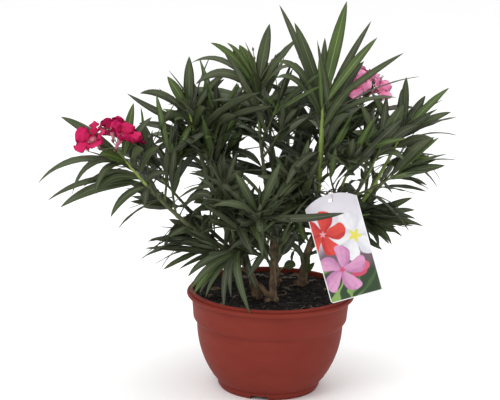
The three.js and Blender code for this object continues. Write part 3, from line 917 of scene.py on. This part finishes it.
def kept_clear():
    """What shows from the front: the flowers and the bark of SHOWN_BARK, as places and radii."""
    places, radii = [], []
    for name, blooms in (("left_flower", MAGENTA_BLOOMS), ("pink_flower", PINK_BLOOMS)):
        for place, _, radius, _, _ in blooms[:2]:
            places.append(shoots[name]["path"][-1] + np.array(place, float))
            radii.append(radius)
    for name, (nearest, furthest, _) in SHOWN_BARK.items():
        chosen = (shoots[name]["from_tip"] > nearest) & (shoots[name]["from_tip"] < furthest)
        rows = shoots[name]["path"][chosen][::3]
        places += list(rows)
        radii += [3.5] * len(rows)
    return np.array(places), np.array(radii)


# A leaf hides a place when it passes more than this in front of it, and nearer to the line of sight than the
# place's radius and this margin.
IN_FRONT, MARGIN = 6, 4


def hides_something(foot, bend, tip):
    """Whether a leaf passes in front of a place that is kept clear."""
    share = np.linspace(0.15, 1, 7)[:, None]
    path = curve_of(foot, bend, tip, share)
    to_front = unit(CAMERA_PLACE - CLEAR_PLACES)
    apart = path[:, None] - CLEAR_PLACES
    ahead = np.sum(apart * to_front, -1)
    aside = np.linalg.norm(apart - ahead[..., None] * to_front, axis=-1)
    return bool(np.any((ahead > IN_FRONT) & (aside < CLEAR_RADII + MARGIN)))


def grown_leaves(shoot, bare_tip):
    """Whorls of three down a shoot, each turned to the phase that gives its leaves the most room.

    Leaves open, lengthen and droop with their distance from the tip; each stops a little past the masses.
    """
    leaves = []
    turned = random.uniform(0, 2)
    for distance in WHORL_DISTANCES:
        if distance > shoot["from_tip"][0] - shoot["bare"]:
            break
        if distance < bare_tip:
            continue
        turned += np.pi / 3
        opening = np.radians(np.interp(distance, *OPENING))
        length = np.interp(distance, *LENGTH)
        droop = np.interp(distance, *DROOP)
        best = None
        for nudge in np.linspace(-0.5, 0.5, 5) + random.uniform(-0.1, 0.1):
            feet, axes, outs = whorl(shoot, distance, turned + nudge)
            found = []
            for foot, axis, out in zip(feet, axes, outs):
                wide = opening + random.normal(0, 0.2)
                hang = droop * random.uniform(0.25, 1.6)
                natural = length * random.uniform(0.84, 1.2)
                bend, tip = leaf_course(foot, axis, out, wide, natural, hang)
                room = room_along(foot, unit(tip - foot))
                own = min(natural, room + PAST_MASSES)
                bend, tip = leaf_course(foot, axis, out, wide, own, hang)
                if hides_something(foot, bend, tip):
                    own = 0.0
                found.append((own, natural, foot, bend, tip, axis, distance))
            total = sum(leaf[0] for leaf in found)
            if best is None or total > best[0]:
                best = (total, found)
        leaves += [leaf for leaf in best[1] if leaf[0] > LEAST_SHARE * leaf[1]]
    return leaves


CAMERA_PLACE = np.array(bpy.context.scene.camera.matrix_world.translation) / MM
CLEAR_PLACES, CLEAR_RADII = kept_clear()

# Leaves that make the plant's outline, for the shoots whose tips stand clear. For each shoot: how much of
# its tip they take the place of, then for each leaf how far its foot is below the tip, its own tip measured
# across, back and up from the shoot's tip, its width, its arch (how far it first follows the shoot), and
# its kind.
LEADING = {
    "tall_right": (52, (
        (2, 31, 14, 144, 19, 0.05, "young"), (4, -44, 10, 112, 15, 0.1, "full"),
        (16, -66, 40, 134, 11, 0.1, "grey"), (14, 2, 34, 88, 13, 0.05, "full"),
        (20, -8, -14, 64, 8, 0.05, "young"), (14, 69, 34, 114, 11, 0.06, "grey"),
        (9, 77, 10, 93, 14, 0.08, "young"), (16, 112, -34, 77, 11, 0.06, "side"),
        (36, 105, -30, 12, 12, 0.24, "side"), (28, 140, 6, 38, 11, 0.14, "edge"),
        (24, -68, -22, 58, 12, 0.46, "side"), (30, -70, -30, 36, 12, 0.5, "side"),
        (44, 44, -44, 30, 15, 0.2, "full"), (48, -40, 52, 48, 15, 0.2, "old"),
        (50, 62, 52, 52, 15, 0.2, "old"),
    )),
    "top_centre": (50, (
        (8, 16, 16, 86, 18, 0.05, "full"), (5, -28, 6, 55, 19, 0.12, "young"),
        (12, -70, -8, 59, 11, 0.26, "young"), (14, -98, 6, 27, 11, 0.46, "side"),
        (18, -91, -14, -2, 14, 0.52, "grey"), (12, 66, 14, 72, 13, 0.14, "side"),
        (4, -46, -12, 60, 8, 0.24, "young"), (26, -8, -40, 20, 18, 0.26, "full"),
        (20, 60, -30, 30, 13, 0.4, "side"), (34, 40, 56, 44, 15, 0.2, "old"),
        (40, -52, 52, 40, 15, 0.2, "old"), (46, 74, -10, -8, 16, 0.35, "full"),
    )),
    "upper_left": (44, (
        (3, -1, 10, 79, 17, 0.04, "full"), (4, -33, 4, 49, 15, 0.08, "young"),
        (10, -74, 6, 22, 12, 0.34, "grey"), (24, -92, -10, 24, 12, -0.1, "old"),
        (16, -44, -22, -24, 14, 0.55, "side"), (12, 30, 18, 79, 7, 0.1, "edge"),
        (14, 57, 0, 57, 12, 0.24, "side"), (18, 52, 22, 44, 10, 0.2, "grey"),
        (26, -20, -30, -12, 13, 0.4, "side"), (30, 26, -44, 10, 15, 0.3, "full"),
        (36, 6, 60, 30, 15, 0.2, "old"), (40, 66, -20, -4, 15, 0.36, "full"),
        (48, -52, -16, -52, 13, 0.3, "full"), (52, -64, 10, -84, 12, 0.35, "old"),
        (60, -34, -24, -104, 13, 0.35, "full"), (66, -18, 14, -120, 12, 0.3, "old"),
        (72, -70, 20, -112, 12, 0.3, "old"), (60, 30, -30, -70, 13, 0.4, "side"),
        (54, -76, 8, -24, 12, 0.2, "old"),
    )),
    "left_flower": (84, (
        (18, -24, -40, 6, 19, 0.12, "young"), (24, -118, -6, -47, 14, 0.34, "side"),
        (26, -66, -24, -58, 13, 0.6, "side"), (24, -30, -42, -50, 12, 0.5, "side"),
        (54, -30, -36, -54, 14, 0.4, "full"), (16, -87, 20, 48, 14, 0.16, "full"),
        (12, 20, 14, 72, 14, 0.06, "young"), (50, -106, 8, -76, 12, 0.2, "side"),
        (58, -84, -16, -80, 17, 0.2, "full"), (30, 40, -52, 16, 16, 0.3, "full"),
        (38, 20, 52, 26, 15, 0.2, "old"), (10, 46, 24, 50, 13, 0.12, "full"),
        (42, -60, 58, 12, 15, 0.25, "old"), (46, 60, -20, 14, 13, 0.3, "full"),
        (60, 70, -10, -26, 12, 0.3, "old"), (70, 40, -20, -76, 12, 0.3, "old"),
        (66, -10, -20, -92, 12, 0.3, "full"), (80, 60, 0, -60, 12, 0.3, "old"),
    )),
    "right_outer": (84, (
        (6, 2, 8, 78, 14, 0.05, "full"), (14, -6, -8, 62, 12, 0.05, "old"),
        (8, 32, 14, 50, 14, 0.08, "old"), (6, 65, 4, 64, 13, 0.1, "young"),
        (14, 38, -16, 28, 13, 0.12, "old"), (12, 68, -8, 30, 12, 0.12, "side"),
        (18, 78, 6, 20, 13, 0.16, "edge"), (22, 77, -14, -3, 10, 0.2, "edge"),
        (30, 44, -22, -10, 15, 0.24, "grey"), (58, 78, -10, -40, 11, 0.05, "edge"),
        (38, 59, 6, -74, 12, 0.35, "edge"), (60, 40, -30, -34, 17, 0.1, "young"),
        (62, 52, -20, -80, 12, 0.4, "edge"), (26, -46, 30, 50, 14, 0.12, "full"),
        (40, 20, 60, 24, 15, 0.2, "old"), (46, -30, -40, 20, 15, 0.25, "full"),
    )),
    "right_inner": (34, (
        (4, 28, 6, 52, 21, 0.08, "full"), (10, 4, 22, 62, 12, 0.05, "old"),
        (14, -34, 8, 50, 13, 0.1, "full"), (20, 50, 20, 20, 15, 0.2, "old"),
        (24, -46, -14, 14, 15, 0.3, "full"), (30, 26, -38, -20, 16, 0.35, "full"),
    )),
    "centre_front": (30, (
        (4, 14, 14, 84, 15, 0.05, "full"), (8, 30, 4, 56, 14, 0.1, "old"),
        (8, -34, -6, 62, 15, 0.1, "full"), (14, -60, 0, 30, 13, 0.35, "side"),
        (18, 20, -34, 36, 13, 0.2, "full"), (26, -26, -44, 6, 14, 0.45, "side"),
        (30, 4, -46, -40, 12, 0.5, "side"), (40, 12, -14, -62, 13, 0.4, "young"),
        (44, -22, -10, -66, 12, 0.4, "full"), (48, 32, -8, -50, 12, 0.35, "old"),
        (52, 2, 12, -68, 11, 0.35, "old"), (56, 42, 10, -40, 12, 0.3, "full"),
        (50, 20, 20, -74, 9, 0.3, "old"),
    )),
    "front_low": (6, (
        (10, 124, 4, 2, 12, -0.09, "old"), (4, 30, -10, 76, 13, 0.06, "full"),
        (5, -34, -8, 60, 13, 0.1, "full"), (8, -66, 0, 8, 12, 0.4, "side"),
        (10, 8, -14, -62, 12, 0.5, "side"),
    )),
    "low_right": (48, (
        (6, 82, -14, -12, 8, 0.14, "side"), (10, 16, -30, -42, 11, 0.25, "side"),
        (8, 12, 4, 66, 12, 0.05, "full"), (12, -36, -20, 46, 12, 0.1, "full"),
        (14, 66, 10, 26, 12, 0.1, "full"), (20, 34, -34, -36, 10, 0.3, "side"),
        (24, 54, 40, -26, 11, 0.3, "side"), (30, -14, -44, -30, 11, 0.45, "side"),
        (26, 74, 40, 0, 11, 0.2, "old"),
    )),
    "low_front": (40, (
        (6, 20, -70, -82, 13, 0.42, "full"), (10, -8, -54, -62, 10, 0.4, "old"),
        (8, -18, -46, -84, 11, 0.36, "old"), (4, 44, -30, 10, 11, 0.2, "full"),
        (12, 34, -40, -4, 11, 0.3, "old"), (14, -46, -30, -70, 12, 0.3, "side"),
        (16, -64, -22, -68, 15, 0.26, "young"), (18, -70, -40, -58, 12, 0.25, "side"),
        (20, -74, 10, -50, 13, 0.3, "full"), (22, -56, 0, -74, 12, 0.3, "old"),
        (16, 30, -20, -60, 11, 0.4, "old"),
    )),
}


def leading_leaves(shoot, entries):
    """Leaves whose tips are given, each bending by its arch along the shoot's own axis.

    Like dressed, it gives each leaf's foot, bend, tip, axis, half width, materials and turn.
    """
    leaves = []
    top = shoot["path"][-1]
    for down, across, back, up, width, arch, kind in entries:
        at = int(np.argmin(np.abs(shoot["from_tip"] - down)))
        axis = unit(shoot["path"][at] - shoot["path"][max(at - 4, 0)])
        foot = shoot["path"][at]
        tip = top + np.array([across, back, up], float)
        span = np.linalg.norm(tip - foot)
        rise = unit(axis * 0.6 - DOWN * 0.4)
        bend = (foot + tip) / 2 + rise * arch * span
        axis = unit(axis * 0.35 + FRONT * SHOWN.get(kind, 1.0))
        leaves.append((foot, bend, tip, axis, width / 2, LEAF_KINDS[kind], PLACED_TURN))
    return leaves


def dressed(leaf, share):
    """A grown leaf's colour and width, dealt out by its height and its distance from the shoot's tip."""
    own, natural, foot, bend, tip, axis, distance = leaf
    place = LIGHT if foot[2] > LIT_ABOVE else SHADE
    if distance < YOUNG_WITHIN and place is LIGHT and random.random() < YOUNG_SHARE:
        kind = YOUNG
    else:
        kind = FULL if random.random() < place["full"] else OLD
    slim = 0.5 + 0.5 * share
    stunted = min(1, 0.4 + own / natural)
    half = slim * place["breadth"] * min(BROADEST, natural) * random.uniform(0.75, 1.15) * stunted
    return foot, bend, tip, axis, half, kind, GROWN_TURN


def make_leaves(finishes):
    """All the leaves of a stem's shoots are one piece."""
    for stem in sorted({shoot["stem"] for shoot in shoots.values()}):
        heap = Heap()
        owned = {name: shoot for name, shoot in shoots.items() if shoot["stem"] == stem}
        leaves = []
        for name, shoot in owned.items():
            taken, entries = LEADING.get(name, (0, ()))
            leaves += leading_leaves(shoot, entries)
            grown = sum((grown_leaves(twig, 0) for twig in twigs[name]), grown_leaves(shoot, taken))
            share = OPEN_SHOOTS.get(name, 1.0)
            kept = [leaf for leaf in grown if random.random() < share]
            leaves += [dressed(leaf, share) for leaf in kept]
        for sprout in sprouts:
            if sprout["stem"] == stem:
                leaves += leading_leaves(sprout, sprout["leaves"])
        foot, bend, tip, axis, half, kinds, turned = (np.array(part) for part in zip(*leaves))
        count = len(leaves)
        points, uv = blades(
            foot, bend, tip, axis, half,
            fold=random.uniform(0.04, 0.3, count), curl=random.uniform(0.0, 0.16, count),
            roll=random.normal(0, 1, count) * turned, wave=random.uniform(0, 0.14, count),
        )
        heap.add(points, rod_faces(count, BLADE_ROWS, len(ACROSS)), blade_index(kinds), uv)
        heap.make(f"leaves_{stem}", finishes, "foliage", [f"foliage_{name}" for name in owned])


# ---------------------------------------------------------------- blossom
def add_bloom(petals, throats, centre, axis, radius, opening, phase, kind):
    """Five spoon-shaped petals set like a pinwheel on a funnel, with a fringe of small flaps in its mouth.

    opening is the angle between the axis and a petal: a wide open flower has about a right angle.
    """
    axis = unit(np.array(axis, float))
    centre = np.array(centre, float)
    out = way_round(axis, 5, phase)
    aside = np.cross(axis, out)
    open_way = np.cos(opening) * axis + np.sin(opening) * out
    first = np.cos(opening * 0.45) * axis + np.sin(opening * 0.45) * out
    mouth = 0.19 * radius
    foot = centre + out * mouth
    bend = foot + first * radius * 0.36
    tip = bend + open_way * radius * 0.62 + aside * radius * 0.2
    tip = tip + random.normal(0, 0.05 * radius, (5, 3))
    points, uv = blades(
        foot, bend, tip, np.repeat(axis[None], 5, 0), random.uniform(0.48, 0.56, 5) * radius, spoon,
        fold=random.uniform(-0.05, 0.2, 5), curl=random.uniform(0.02, 0.24, 5),
        roll=0.25 + random.normal(0, 0.2, 5), wave=0.3, thick=0.42,
    )
    petals.add(points, rod_faces(5, BLADE_ROWS, len(ACROSS)), kind, uv)

    flaps = way_round(axis, 10, phase + 0.2)
    low = centre + flaps * mouth * 0.8 + axis * 0.6
    high = low + axis * radius * 0.22 + flaps * radius * 0.07
    axes = np.repeat(axis[None], 10, 0)
    points, uv = blades(low, (low + high) / 2, high, axes, 0.055 * radius, thick=0.3)
    petals.add(points, rod_faces(10, BLADE_ROWS, len(ACROSS)), kind + 1, uv)

    along = np.linspace(-0.95, 0.14, 12)
    tube = centre + axis * radius * along[:, None]
    girth = radius * np.interp(along, (-0.95, -0.55, -0.1, 0.14), (0.065, 0.085, 0.17, 0.25))
    throats.add_rods(tube[None], girth[None], 14, kind // 2)
    sepals = way_round(axis, 5, phase + 0.6)
    low = centre - axis * radius * 0.98
    high = low + sepals * radius * 0.13 + axis * radius * 0.26
    points, uv = blades(
        np.repeat(low[None], 5, 0), low + sepals * radius * 0.1 + axis * radius * 0.08, high,
        np.repeat(axis[None], 5, 0), 0.055 * radius, thick=0.5,
    )
    throats.add(points, rod_faces(5, BLADE_ROWS, len(ACROSS)), 2, uv)
    return low


def add_bud(throats, foot, way, length, girth, kind):
    """A pointed bud: a spindle whose widest place is a third of the way up."""
    along = np.linspace(0, 1, 12)
    path = straight(foot, way, length, along[:, None])
    radius = girth * np.sin(np.pi * np.clip(along, 0.04, 0.985) ** 0.8) ** 0.8
    throats.add_rods(path[None], radius[None], 10, kind)


def add_stalk(stalks, start, end, sag=0.1, radius=0.8, kind=0):
    """A thin stalk: a curve that leaves its foot upwards and arrives at its head."""
    start, end = np.array(start, float), np.array(end, float)
    along = np.linspace(0, 1, 10)[:, None]
    middle = (start + end) / 2 - DOWN * sag * np.linalg.norm(end - start)
    path = curve_of(start, middle, end, along)
    stalks.add_rods(path[None], np.full((1, 10), radius) * np.linspace(1.2, 0.9, 10), 7, kind)


# Flowerless stalks on the top shoot: their heads measured across, back and up from its tip.
SPENT_STALKS = (
    (-18, -4, 50), (-9, 6, 58), (-22, 8, 40), (-34, -6, 46),
    (-6, -10, 44), (14, 4, 38), (24, -4, 40), (-42, 2, 54),
)


def make_blossom(petal_kinds, throat_kinds, stalk_kinds):
    """The two clusters, each on one stalk that forks to its flowers and buds, and the spent stalks."""
    petals, throats, stalks = Heap(), Heap(), Heap()
    clusters = (
        ("left_flower", MAGENTA_BLOOMS, MAGENTA_BUDS, 0),
        ("pink_flower", PINK_BLOOMS, PINK_BUDS, 2),
    )
    for name, blooms, buds, kind in clusters:
        top = shoots[name]["path"][-1]
        fork = top + np.array([-2, 0, 8])
        add_stalk(stalks, top - np.array([0, 0, 4]), fork, 0, 1.5)
        for place, way, radius, opening, turn in blooms:
            middle = top + np.array(place, float)
            back = add_bloom(petals, throats, middle, way, radius, opening, turn, kind)
            add_stalk(stalks, fork, back, 0.05)
        for place, way in buds:
            foot = top + np.array(place, float) * 0.72
            add_stalk(stalks, fork, foot, 0.08, 0.7)
            add_bud(throats, foot, way, 15, 2.3, kind // 2)
    top = shoots["top_centre"]["path"][-1]
    for place in SPENT_STALKS:
        end = top + np.array(place, float) * 0.8
        add_stalk(stalks, top - np.array([0, 0, 3]), end, 0.06, 0.75, 1)
        add_bud(throats, end, place, 6.5, 1.7, 3)
    petals.make("petals", petal_kinds)
    throats.make("flower_tubes_and_buds", throat_kinds)
    stalks.make("flower_stalks", stalk_kinds, "green_bough")


# ---------------------------------------------------------------- the picture card and its tie
CARD = {"width": 78.0, "height": 155.5, "shoulder": 143.0, "corner": 4.0, "thick": 1.0, "cell": 0.8}
CARD_HOLE = {"width": 7.0, "height": 5.2, "drop": 9.5}

# Painted flowers: middle across and up, petal length, its half width as a share, twist, turn in degrees,
# the colours of its lit side, shaded side and heart, and the heart's radius.
PAINTED = (
    ((60, 88), 37, 0.58, 0.12, 91, (0.74, 0.73, 0.75), (0.5, 0.5, 0.57), (0.66, 0.6, 0.09), 8),
    ((15, 101), 34, 0.5, 0.1, -7, (0.66, 0.065, 0.045), (0.36, 0.008, 0.025), (0.7, 0.36, 0.4), 4),
    ((29, 44), 35, 0.48, 0.24, 65, (0.6, 0.29, 0.47), (0.33, 0.11, 0.26), (0.5, 0.05, 0.1), 4),
)
PETALS = 5
# Painted buds: middle, length, half width as a share, and colour.
BUDS = (((52, 34), 12, 0.5, (0.5, 0.06, 0.12)), ((60, 42), 10, 0.8, (0.58, 0.1, 0.17)))


def over(below, above, cover):
    """One colour laid over another where cover is 1."""
    return below + (np.asarray(above) - below) * cover[..., None]


def print_colours(x, y):
    """The card's picture, worked out at each place: pale sky, dark leaves, then three flowers and two buds.

    A petal is drawn in its own ways, along and aside from the flower's middle, as shares of its length. It
    is a lobe whose half width is its width times along to the power 0.7 times the square root of 1 - along
    to the power 5, bent aside by twist times along squared. Its colour runs from a lit to a shaded side.
    """
    places = np.stack([x, y, np.zeros_like(x)], -1)
    cloud = lumps(places, 15, 31)
    colour = np.array([0.66, 0.63, 0.68]) + 0.06 * cloud[..., None]
    colour = over(colour, (0.14, 0.09, 0.11), np.clip((96 - y + 10 * cloud) / 26, 0, 1))
    streak = np.sin((x - 0.9 * y) * 0.3 + 2.5 * lumps(places, 14, 32))
    low = np.clip((56 - y + 6 * cloud) / 20, 0, 1)
    colour = over(colour, (0.025, 0.05, 0.022), low)
    streaks = np.clip(streak * 3 - 1.2, 0, 1) * np.clip((58 - x) / 30, 0.15, 1)
    colour = over(colour, (0.2, 0.33, 0.09), low * streaks)
    for (across, up), length, width, body in BUDS:
        along, aside = (x - across) / length, (y - up) / length
        colour = over(colour, body, np.clip((1 - np.hypot(along, aside / width)) * length, 0, 1))
    for (across, up), length, width, twist, turn, lit, shaded, heart, heart_radius in PAINTED:
        for petal in range(PETALS):
            angle = math.radians(turn + 360 / PETALS * petal)
            along = ((x - across) * math.cos(angle) + (y - up) * math.sin(angle)) / length
            aside = ((y - up) * math.cos(angle) - (x - across) * math.sin(angle)) / length
            aside = aside - twist * along * np.abs(along) + 0.03 * lumps(places, 7, 40 + petal)
            reach = np.clip(along, 0, 1)
            half = width * reach**0.7 * np.sqrt(1 - reach**5)
            cover = np.clip((half - np.abs(aside)) * length / 0.9, 0, 1) * (along > 0) * (along < 1)
            side = np.clip(0.5 - 0.5 * aside / np.maximum(half, 0.02), 0, 1)
            shade = 0.8 * side**2.2 + 0.35 * (1 - reach) ** 3 + 0.2 * lumps(places, 4, 50) * reach
            shade = np.clip(shade + 0.14 * reach * np.sin(9 * aside / np.maximum(half, 0.05)), 0, 1)
            colour = over(colour, np.array(lit) + (np.array(shaded) - lit) * shade[..., None], cover)
        gap = np.hypot(x - across, y - up)
        star = heart_radius * (1 + 0.35 * np.cos(5 * np.arctan2(y - up, x - across) + math.radians(turn)))
        colour = over(colour, heart, np.clip((star - gap) / 1.5, 0, 1))
    margin = np.minimum(np.minimum(x, CARD["width"] - x), y)[..., None]
    return np.where(margin < 1.3, 0.8, np.clip(colour, 0, 1))


def card_frame():
    """The card's own ways from its solid: its foot's middle, across, out of its face, and up."""
    points = node_points("picture_card")
    up, across, face = np.linalg.svd(points - points.mean(0), full_matrices=False)[2]
    up = up * np.sign(up[2])
    across = across * np.sign(across[0])
    face = face * -np.sign(face[1])
    low = (points @ up).min()
    middle = ((points @ across).max() + (points @ across).min()) / 2
    depth = (points @ face).max()
    return low * up + middle * across + depth * face, across, face, up


def make_card(printed, plain):
    """A grid over the card's outline, its top row lifted to the rounded head, without the hole's cells.

    The corners round the hole are moved onto its edge, and the sheet is then given its thickness.
    """
    width, height, shoulder, cell = CARD["width"], CARD["height"], CARD["shoulder"], CARD["cell"]
    columns, rows = int(width / cell) + 1, int(height / cell) + 1
    x, v = np.meshgrid(np.linspace(0, width, columns), np.linspace(0, 1, rows), indexing="ij")
    off = np.abs(x - width / 2) / (width / 2)
    head = height - (height - shoulder) * off**2.2
    into_corner = np.clip(((off - 1) * width / 2 + CARD["corner"]) / CARD["corner"], 0, 1)
    foot = CARD["corner"] * (1 - np.sqrt(1 - into_corner**2))
    y = foot + (head - foot) * v
    hole_y = height - CARD_HOLE["drop"]
    dx, dy = (x - width / 2) / (CARD_HOLE["width"] / 2), (y - hole_y) / (CARD_HOLE["height"] / 2)
    near = np.hypot(dx, dy)
    number = np.arange(columns * rows).reshape(columns, rows)
    corners = [number[:-1, :-1], number[1:, :-1], number[1:, 1:], number[:-1, 1:]]
    cells = np.stack(corners, -1).reshape(-1, 4)
    kept = near.ravel()[cells].mean(1) > 1
    edge = np.intersect1d(cells[kept], cells[~kept])
    x.ravel()[edge] = width / 2 + (dx / near).ravel()[edge] * CARD_HOLE["width"] / 2
    y.ravel()[edge] = hole_y + (dy / near).ravel()[edge] * CARD_HOLE["height"] / 2
    foot_place, across, face, up = card_frame()
    flex = 0.5 * np.sin(np.pi * y / height) - 0.35 * np.exp(-(((y - 0.35 * x - 112) / 1.5) ** 2))
    grid = foot_place + (x - width / 2)[..., None] * across + y[..., None] * up
    grid = grid + (flex - 0.3)[..., None] * face
    used, faces = np.unique(cells[kept], return_inverse=True)
    faces = faces.reshape(-1, 4)
    points = grid.reshape(-1, 3)[used]
    if np.dot(np.cross(across, up), face) < 0:
        faces = faces[:, ::-1]
    node = "picture_card"
    card = make_piece("printed_card", points, faces.tolist(), [printed, plain], [node])
    colour = print_colours(x.ravel()[used], y.ravel()[used])
    colour = np.concatenate([colour, np.ones((len(colour), 1))], 1)
    layer = card.data.color_attributes.new("print", "FLOAT_COLOR", "POINT")
    layer.data.foreach_set("color", colour.astype(np.float32).ravel())
    solid = card.modifiers.new("sheet", "SOLIDIFY")
    solid.thickness = CARD["thick"] * MM
    solid.offset = -1
    solid.material_offset = 1
    solid.material_offset_rim = 1


def make_tie(nylon):
    """The loop of the frame, its triangles merged and rounded."""
    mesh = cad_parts["card_tie"].data.copy()
    mesh.materials.clear()
    mesh.materials.append(nylon)
    work = bmesh.new()
    work.from_mesh(mesh)
    bmesh.ops.remove_doubles(work, verts=work.verts, dist=1e-6)
    bmesh.ops.join_triangles(work, faces=work.faces, angle_face_threshold=1.0, angle_shape_threshold=1.5)
    for face in work.faces:
        face.smooth = True
    work.to_mesh(mesh)
    work.free()
    tie = bpy.data.objects.new("nylon_tie", mesh)
    bpy.context.scene.collection.objects.link(tie)
    rounding = tie.modifiers.new("rounding", "SUBSURF")
    rounding.levels = 2
    rounding.render_levels = 2
    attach(tie, "root")
    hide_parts("card_tie")


# ---------------------------------------------------------------- finishes
def pot_plastic():
    """Matt terracotta plastic: a soft cloudiness, faint dust drawn round the bowl, and a fine grain."""
    material, tree, shader = shader_of("terracotta_plastic", 0.6, Specular_IOR_Level=0.12)
    noise = noise_on(tree, 18, (1, 1, 2.4))
    cloud = blend_of(tree, noise, (0.166, 0.022, 0.014), (0.192, 0.028, 0.018), 0.3, 0.7)
    tree.links.new(cloud, shader.inputs["Base Color"])
    rough = tree.nodes.new("ShaderNodeMapRange")
    rough.inputs["To Min"].default_value = 0.5
    rough.inputs["To Max"].default_value = 0.7
    tree.links.new(noise_on(tree, 45, (1, 1, 5)), rough.inputs["Value"])
    tree.links.new(rough.outputs["Result"], shader.inputs["Roughness"])
    bump_from(tree, shader, noise_on(tree, 1400, detail=2), 0.00008, 0.5)
    return material


def card_print():
    """The card's printed face: the colours worked out for it, with a light gloss and a faint bump."""
    material, tree, shader = shader_of("printed_face", 0.42, Specular_IOR_Level=0.3)
    colours = tree.nodes.new("ShaderNodeAttribute")
    colours.attribute_name = "print"
    tree.links.new(colours.outputs["Color"], shader.inputs["Base Color"])
    bump_from(tree, shader, noise_on(tree, 60, detail=2), 0.0003, 0.3)
    return material


def petal_finish(name, throat, body, edge):
    """A petal: its colour runs from the claw through the body to a paler rim, with fine veins along it."""
    material, tree, shader = shader_of(name, 0.55, Specular_IOR_Level=0.2)
    place, ways = blade_ways(tree)
    ramp = tree.nodes.new("ShaderNodeValToRGB")
    ramp.color_ramp.elements[0].color = (*throat, 1)
    ramp.color_ramp.elements[1].color = (*edge, 1)
    middle = ramp.color_ramp.elements.new(0.38)
    middle.color = (*body, 1)
    tree.links.new(ways["Y"], ramp.inputs["Fac"])
    tree.links.new(ramp.outputs["Color"], shader.inputs["Base Color"])
    wave = tree.nodes.new("ShaderNodeTexWave")
    wave.inputs["Scale"].default_value = 9
    wave.inputs["Distortion"].default_value = 1.5
    tree.links.new(place, wave.inputs["Vector"])
    bump_from(tree, shader, wave.outputs["Fac"], 0.00015, 0.35)
    return material


make_studio()
make_floor()
make_pot(pot_plastic())
DULL = {"Specular_IOR_Level": 0.1}
make_compost(
    mottled("potting_mix", (0.004, 0.003, 0.003), (0.017, 0.014, 0.012), 0.95, 170, 900, 0.0012, **DULL),
    mottled("bark_chip", (0.014, 0.011, 0.009), (0.05, 0.038, 0.028), 0.9, 90, 900, 0.0003),
    mottled("perlite", (0.14, 0.13, 0.12), (0.3, 0.28, 0.25), 0.9, 300, 900, 0.0003),
    mottled("dry_leaf", (0.07, 0.048, 0.03), (0.15, 0.11, 0.07), 0.85, 70, 600, 0.0003),
)
BARK_GRAIN = (1, 1, 0.35)
make_stems(mottled("old_bark", (0.06, 0.036, 0.018), (0.2, 0.13, 0.07), 0.88, 150, 700, 0.0006, BARK_GRAIN))
LENGTHWISE = (1, 1, 0.3)
make_boughs(
    mottled("bright_bark", (0.14, 0.2, 0.035), (0.27, 0.36, 0.07), 0.5, 60, 900, 0.0001, LENGTHWISE),
    mottled("ripening_bark", (0.05, 0.055, 0.022), (0.09, 0.1, 0.036), 0.7, 90, 800, 0.0002, LENGTHWISE),
    mottled("green_bark", (0.075, 0.11, 0.025), (0.12, 0.175, 0.038), 0.5, 60, 900, 0.0001, LENGTHWISE),
)
GLOSS, LESS_GLOSS = {"Specular_IOR_Level": 0.35}, {"Specular_IOR_Level": 0.25}
make_leaves([
    veined("old_leaf", (0.027, 0.034, 0.015), (0.041, 0.051, 0.023), 0.5, **GLOSS),
    veined("full_leaf", (0.034, 0.048, 0.015), (0.05, 0.068, 0.022), 0.48, **GLOSS),
    veined("young_leaf", (0.046, 0.076, 0.013), (0.064, 0.1, 0.018), 0.45, **GLOSS),
    veined("old_underside", (0.055, 0.066, 0.034), (0.075, 0.088, 0.046), 0.7, 0.8, **LESS_GLOSS),
    veined("young_underside", (0.07, 0.105, 0.034), (0.09, 0.13, 0.044), 0.68, 0.8, **LESS_GLOSS),
    mottled("old_midrib", (0.085, 0.115, 0.045), (0.11, 0.145, 0.06), 0.5, 60),
    mottled("young_midrib", (0.13, 0.21, 0.05), (0.16, 0.26, 0.065), 0.45, 60),
])
make_blossom(
    [
        petal_finish("magenta_petal", (0.22, 0.001, 0.035), (0.42, 0.001, 0.06), (0.5, 0.002, 0.09)),
        petal_finish("magenta_fringe", (0.24, 0.002, 0.03), (0.42, 0.004, 0.07), (0.5, 0.015, 0.1)),
        petal_finish("pink_petal", (0.72, 0.2, 0.22), (0.7, 0.17, 0.36), (0.78, 0.3, 0.47)),
        petal_finish("pink_fringe", (0.7, 0.16, 0.2), (0.75, 0.26, 0.34), (0.8, 0.4, 0.46)),
    ],
    [
        mottled("magenta_tube", (0.5, 0.12, 0.18), (0.6, 0.2, 0.26), 0.5, 200),
        mottled("pink_tube", (0.66, 0.22, 0.26), (0.74, 0.34, 0.36), 0.5, 200),
        mottled("calyx", (0.09, 0.1, 0.03), (0.16, 0.09, 0.05), 0.55, 200),
        mottled("spent_bud", (0.06, 0.05, 0.025), (0.12, 0.12, 0.05), 0.75, 200),
    ],
    [
        mottled("flower_stalk", (0.1, 0.15, 0.04), (0.16, 0.2, 0.06), 0.5, 90),
        mottled("spent_stalk", (0.07, 0.07, 0.035), (0.1, 0.11, 0.05), 0.7, 90),
    ],
)
make_card(card_print(), mottled("card_board", (0.72, 0.7, 0.7), (0.8, 0.79, 0.78), 0.6, 120, 1500, 0.00005))
make_tie(mottled("clear_nylon", (0.6, 0.6, 0.56), (0.74, 0.74, 0.7), 0.3, 300, Transmission_Weight=0.3))
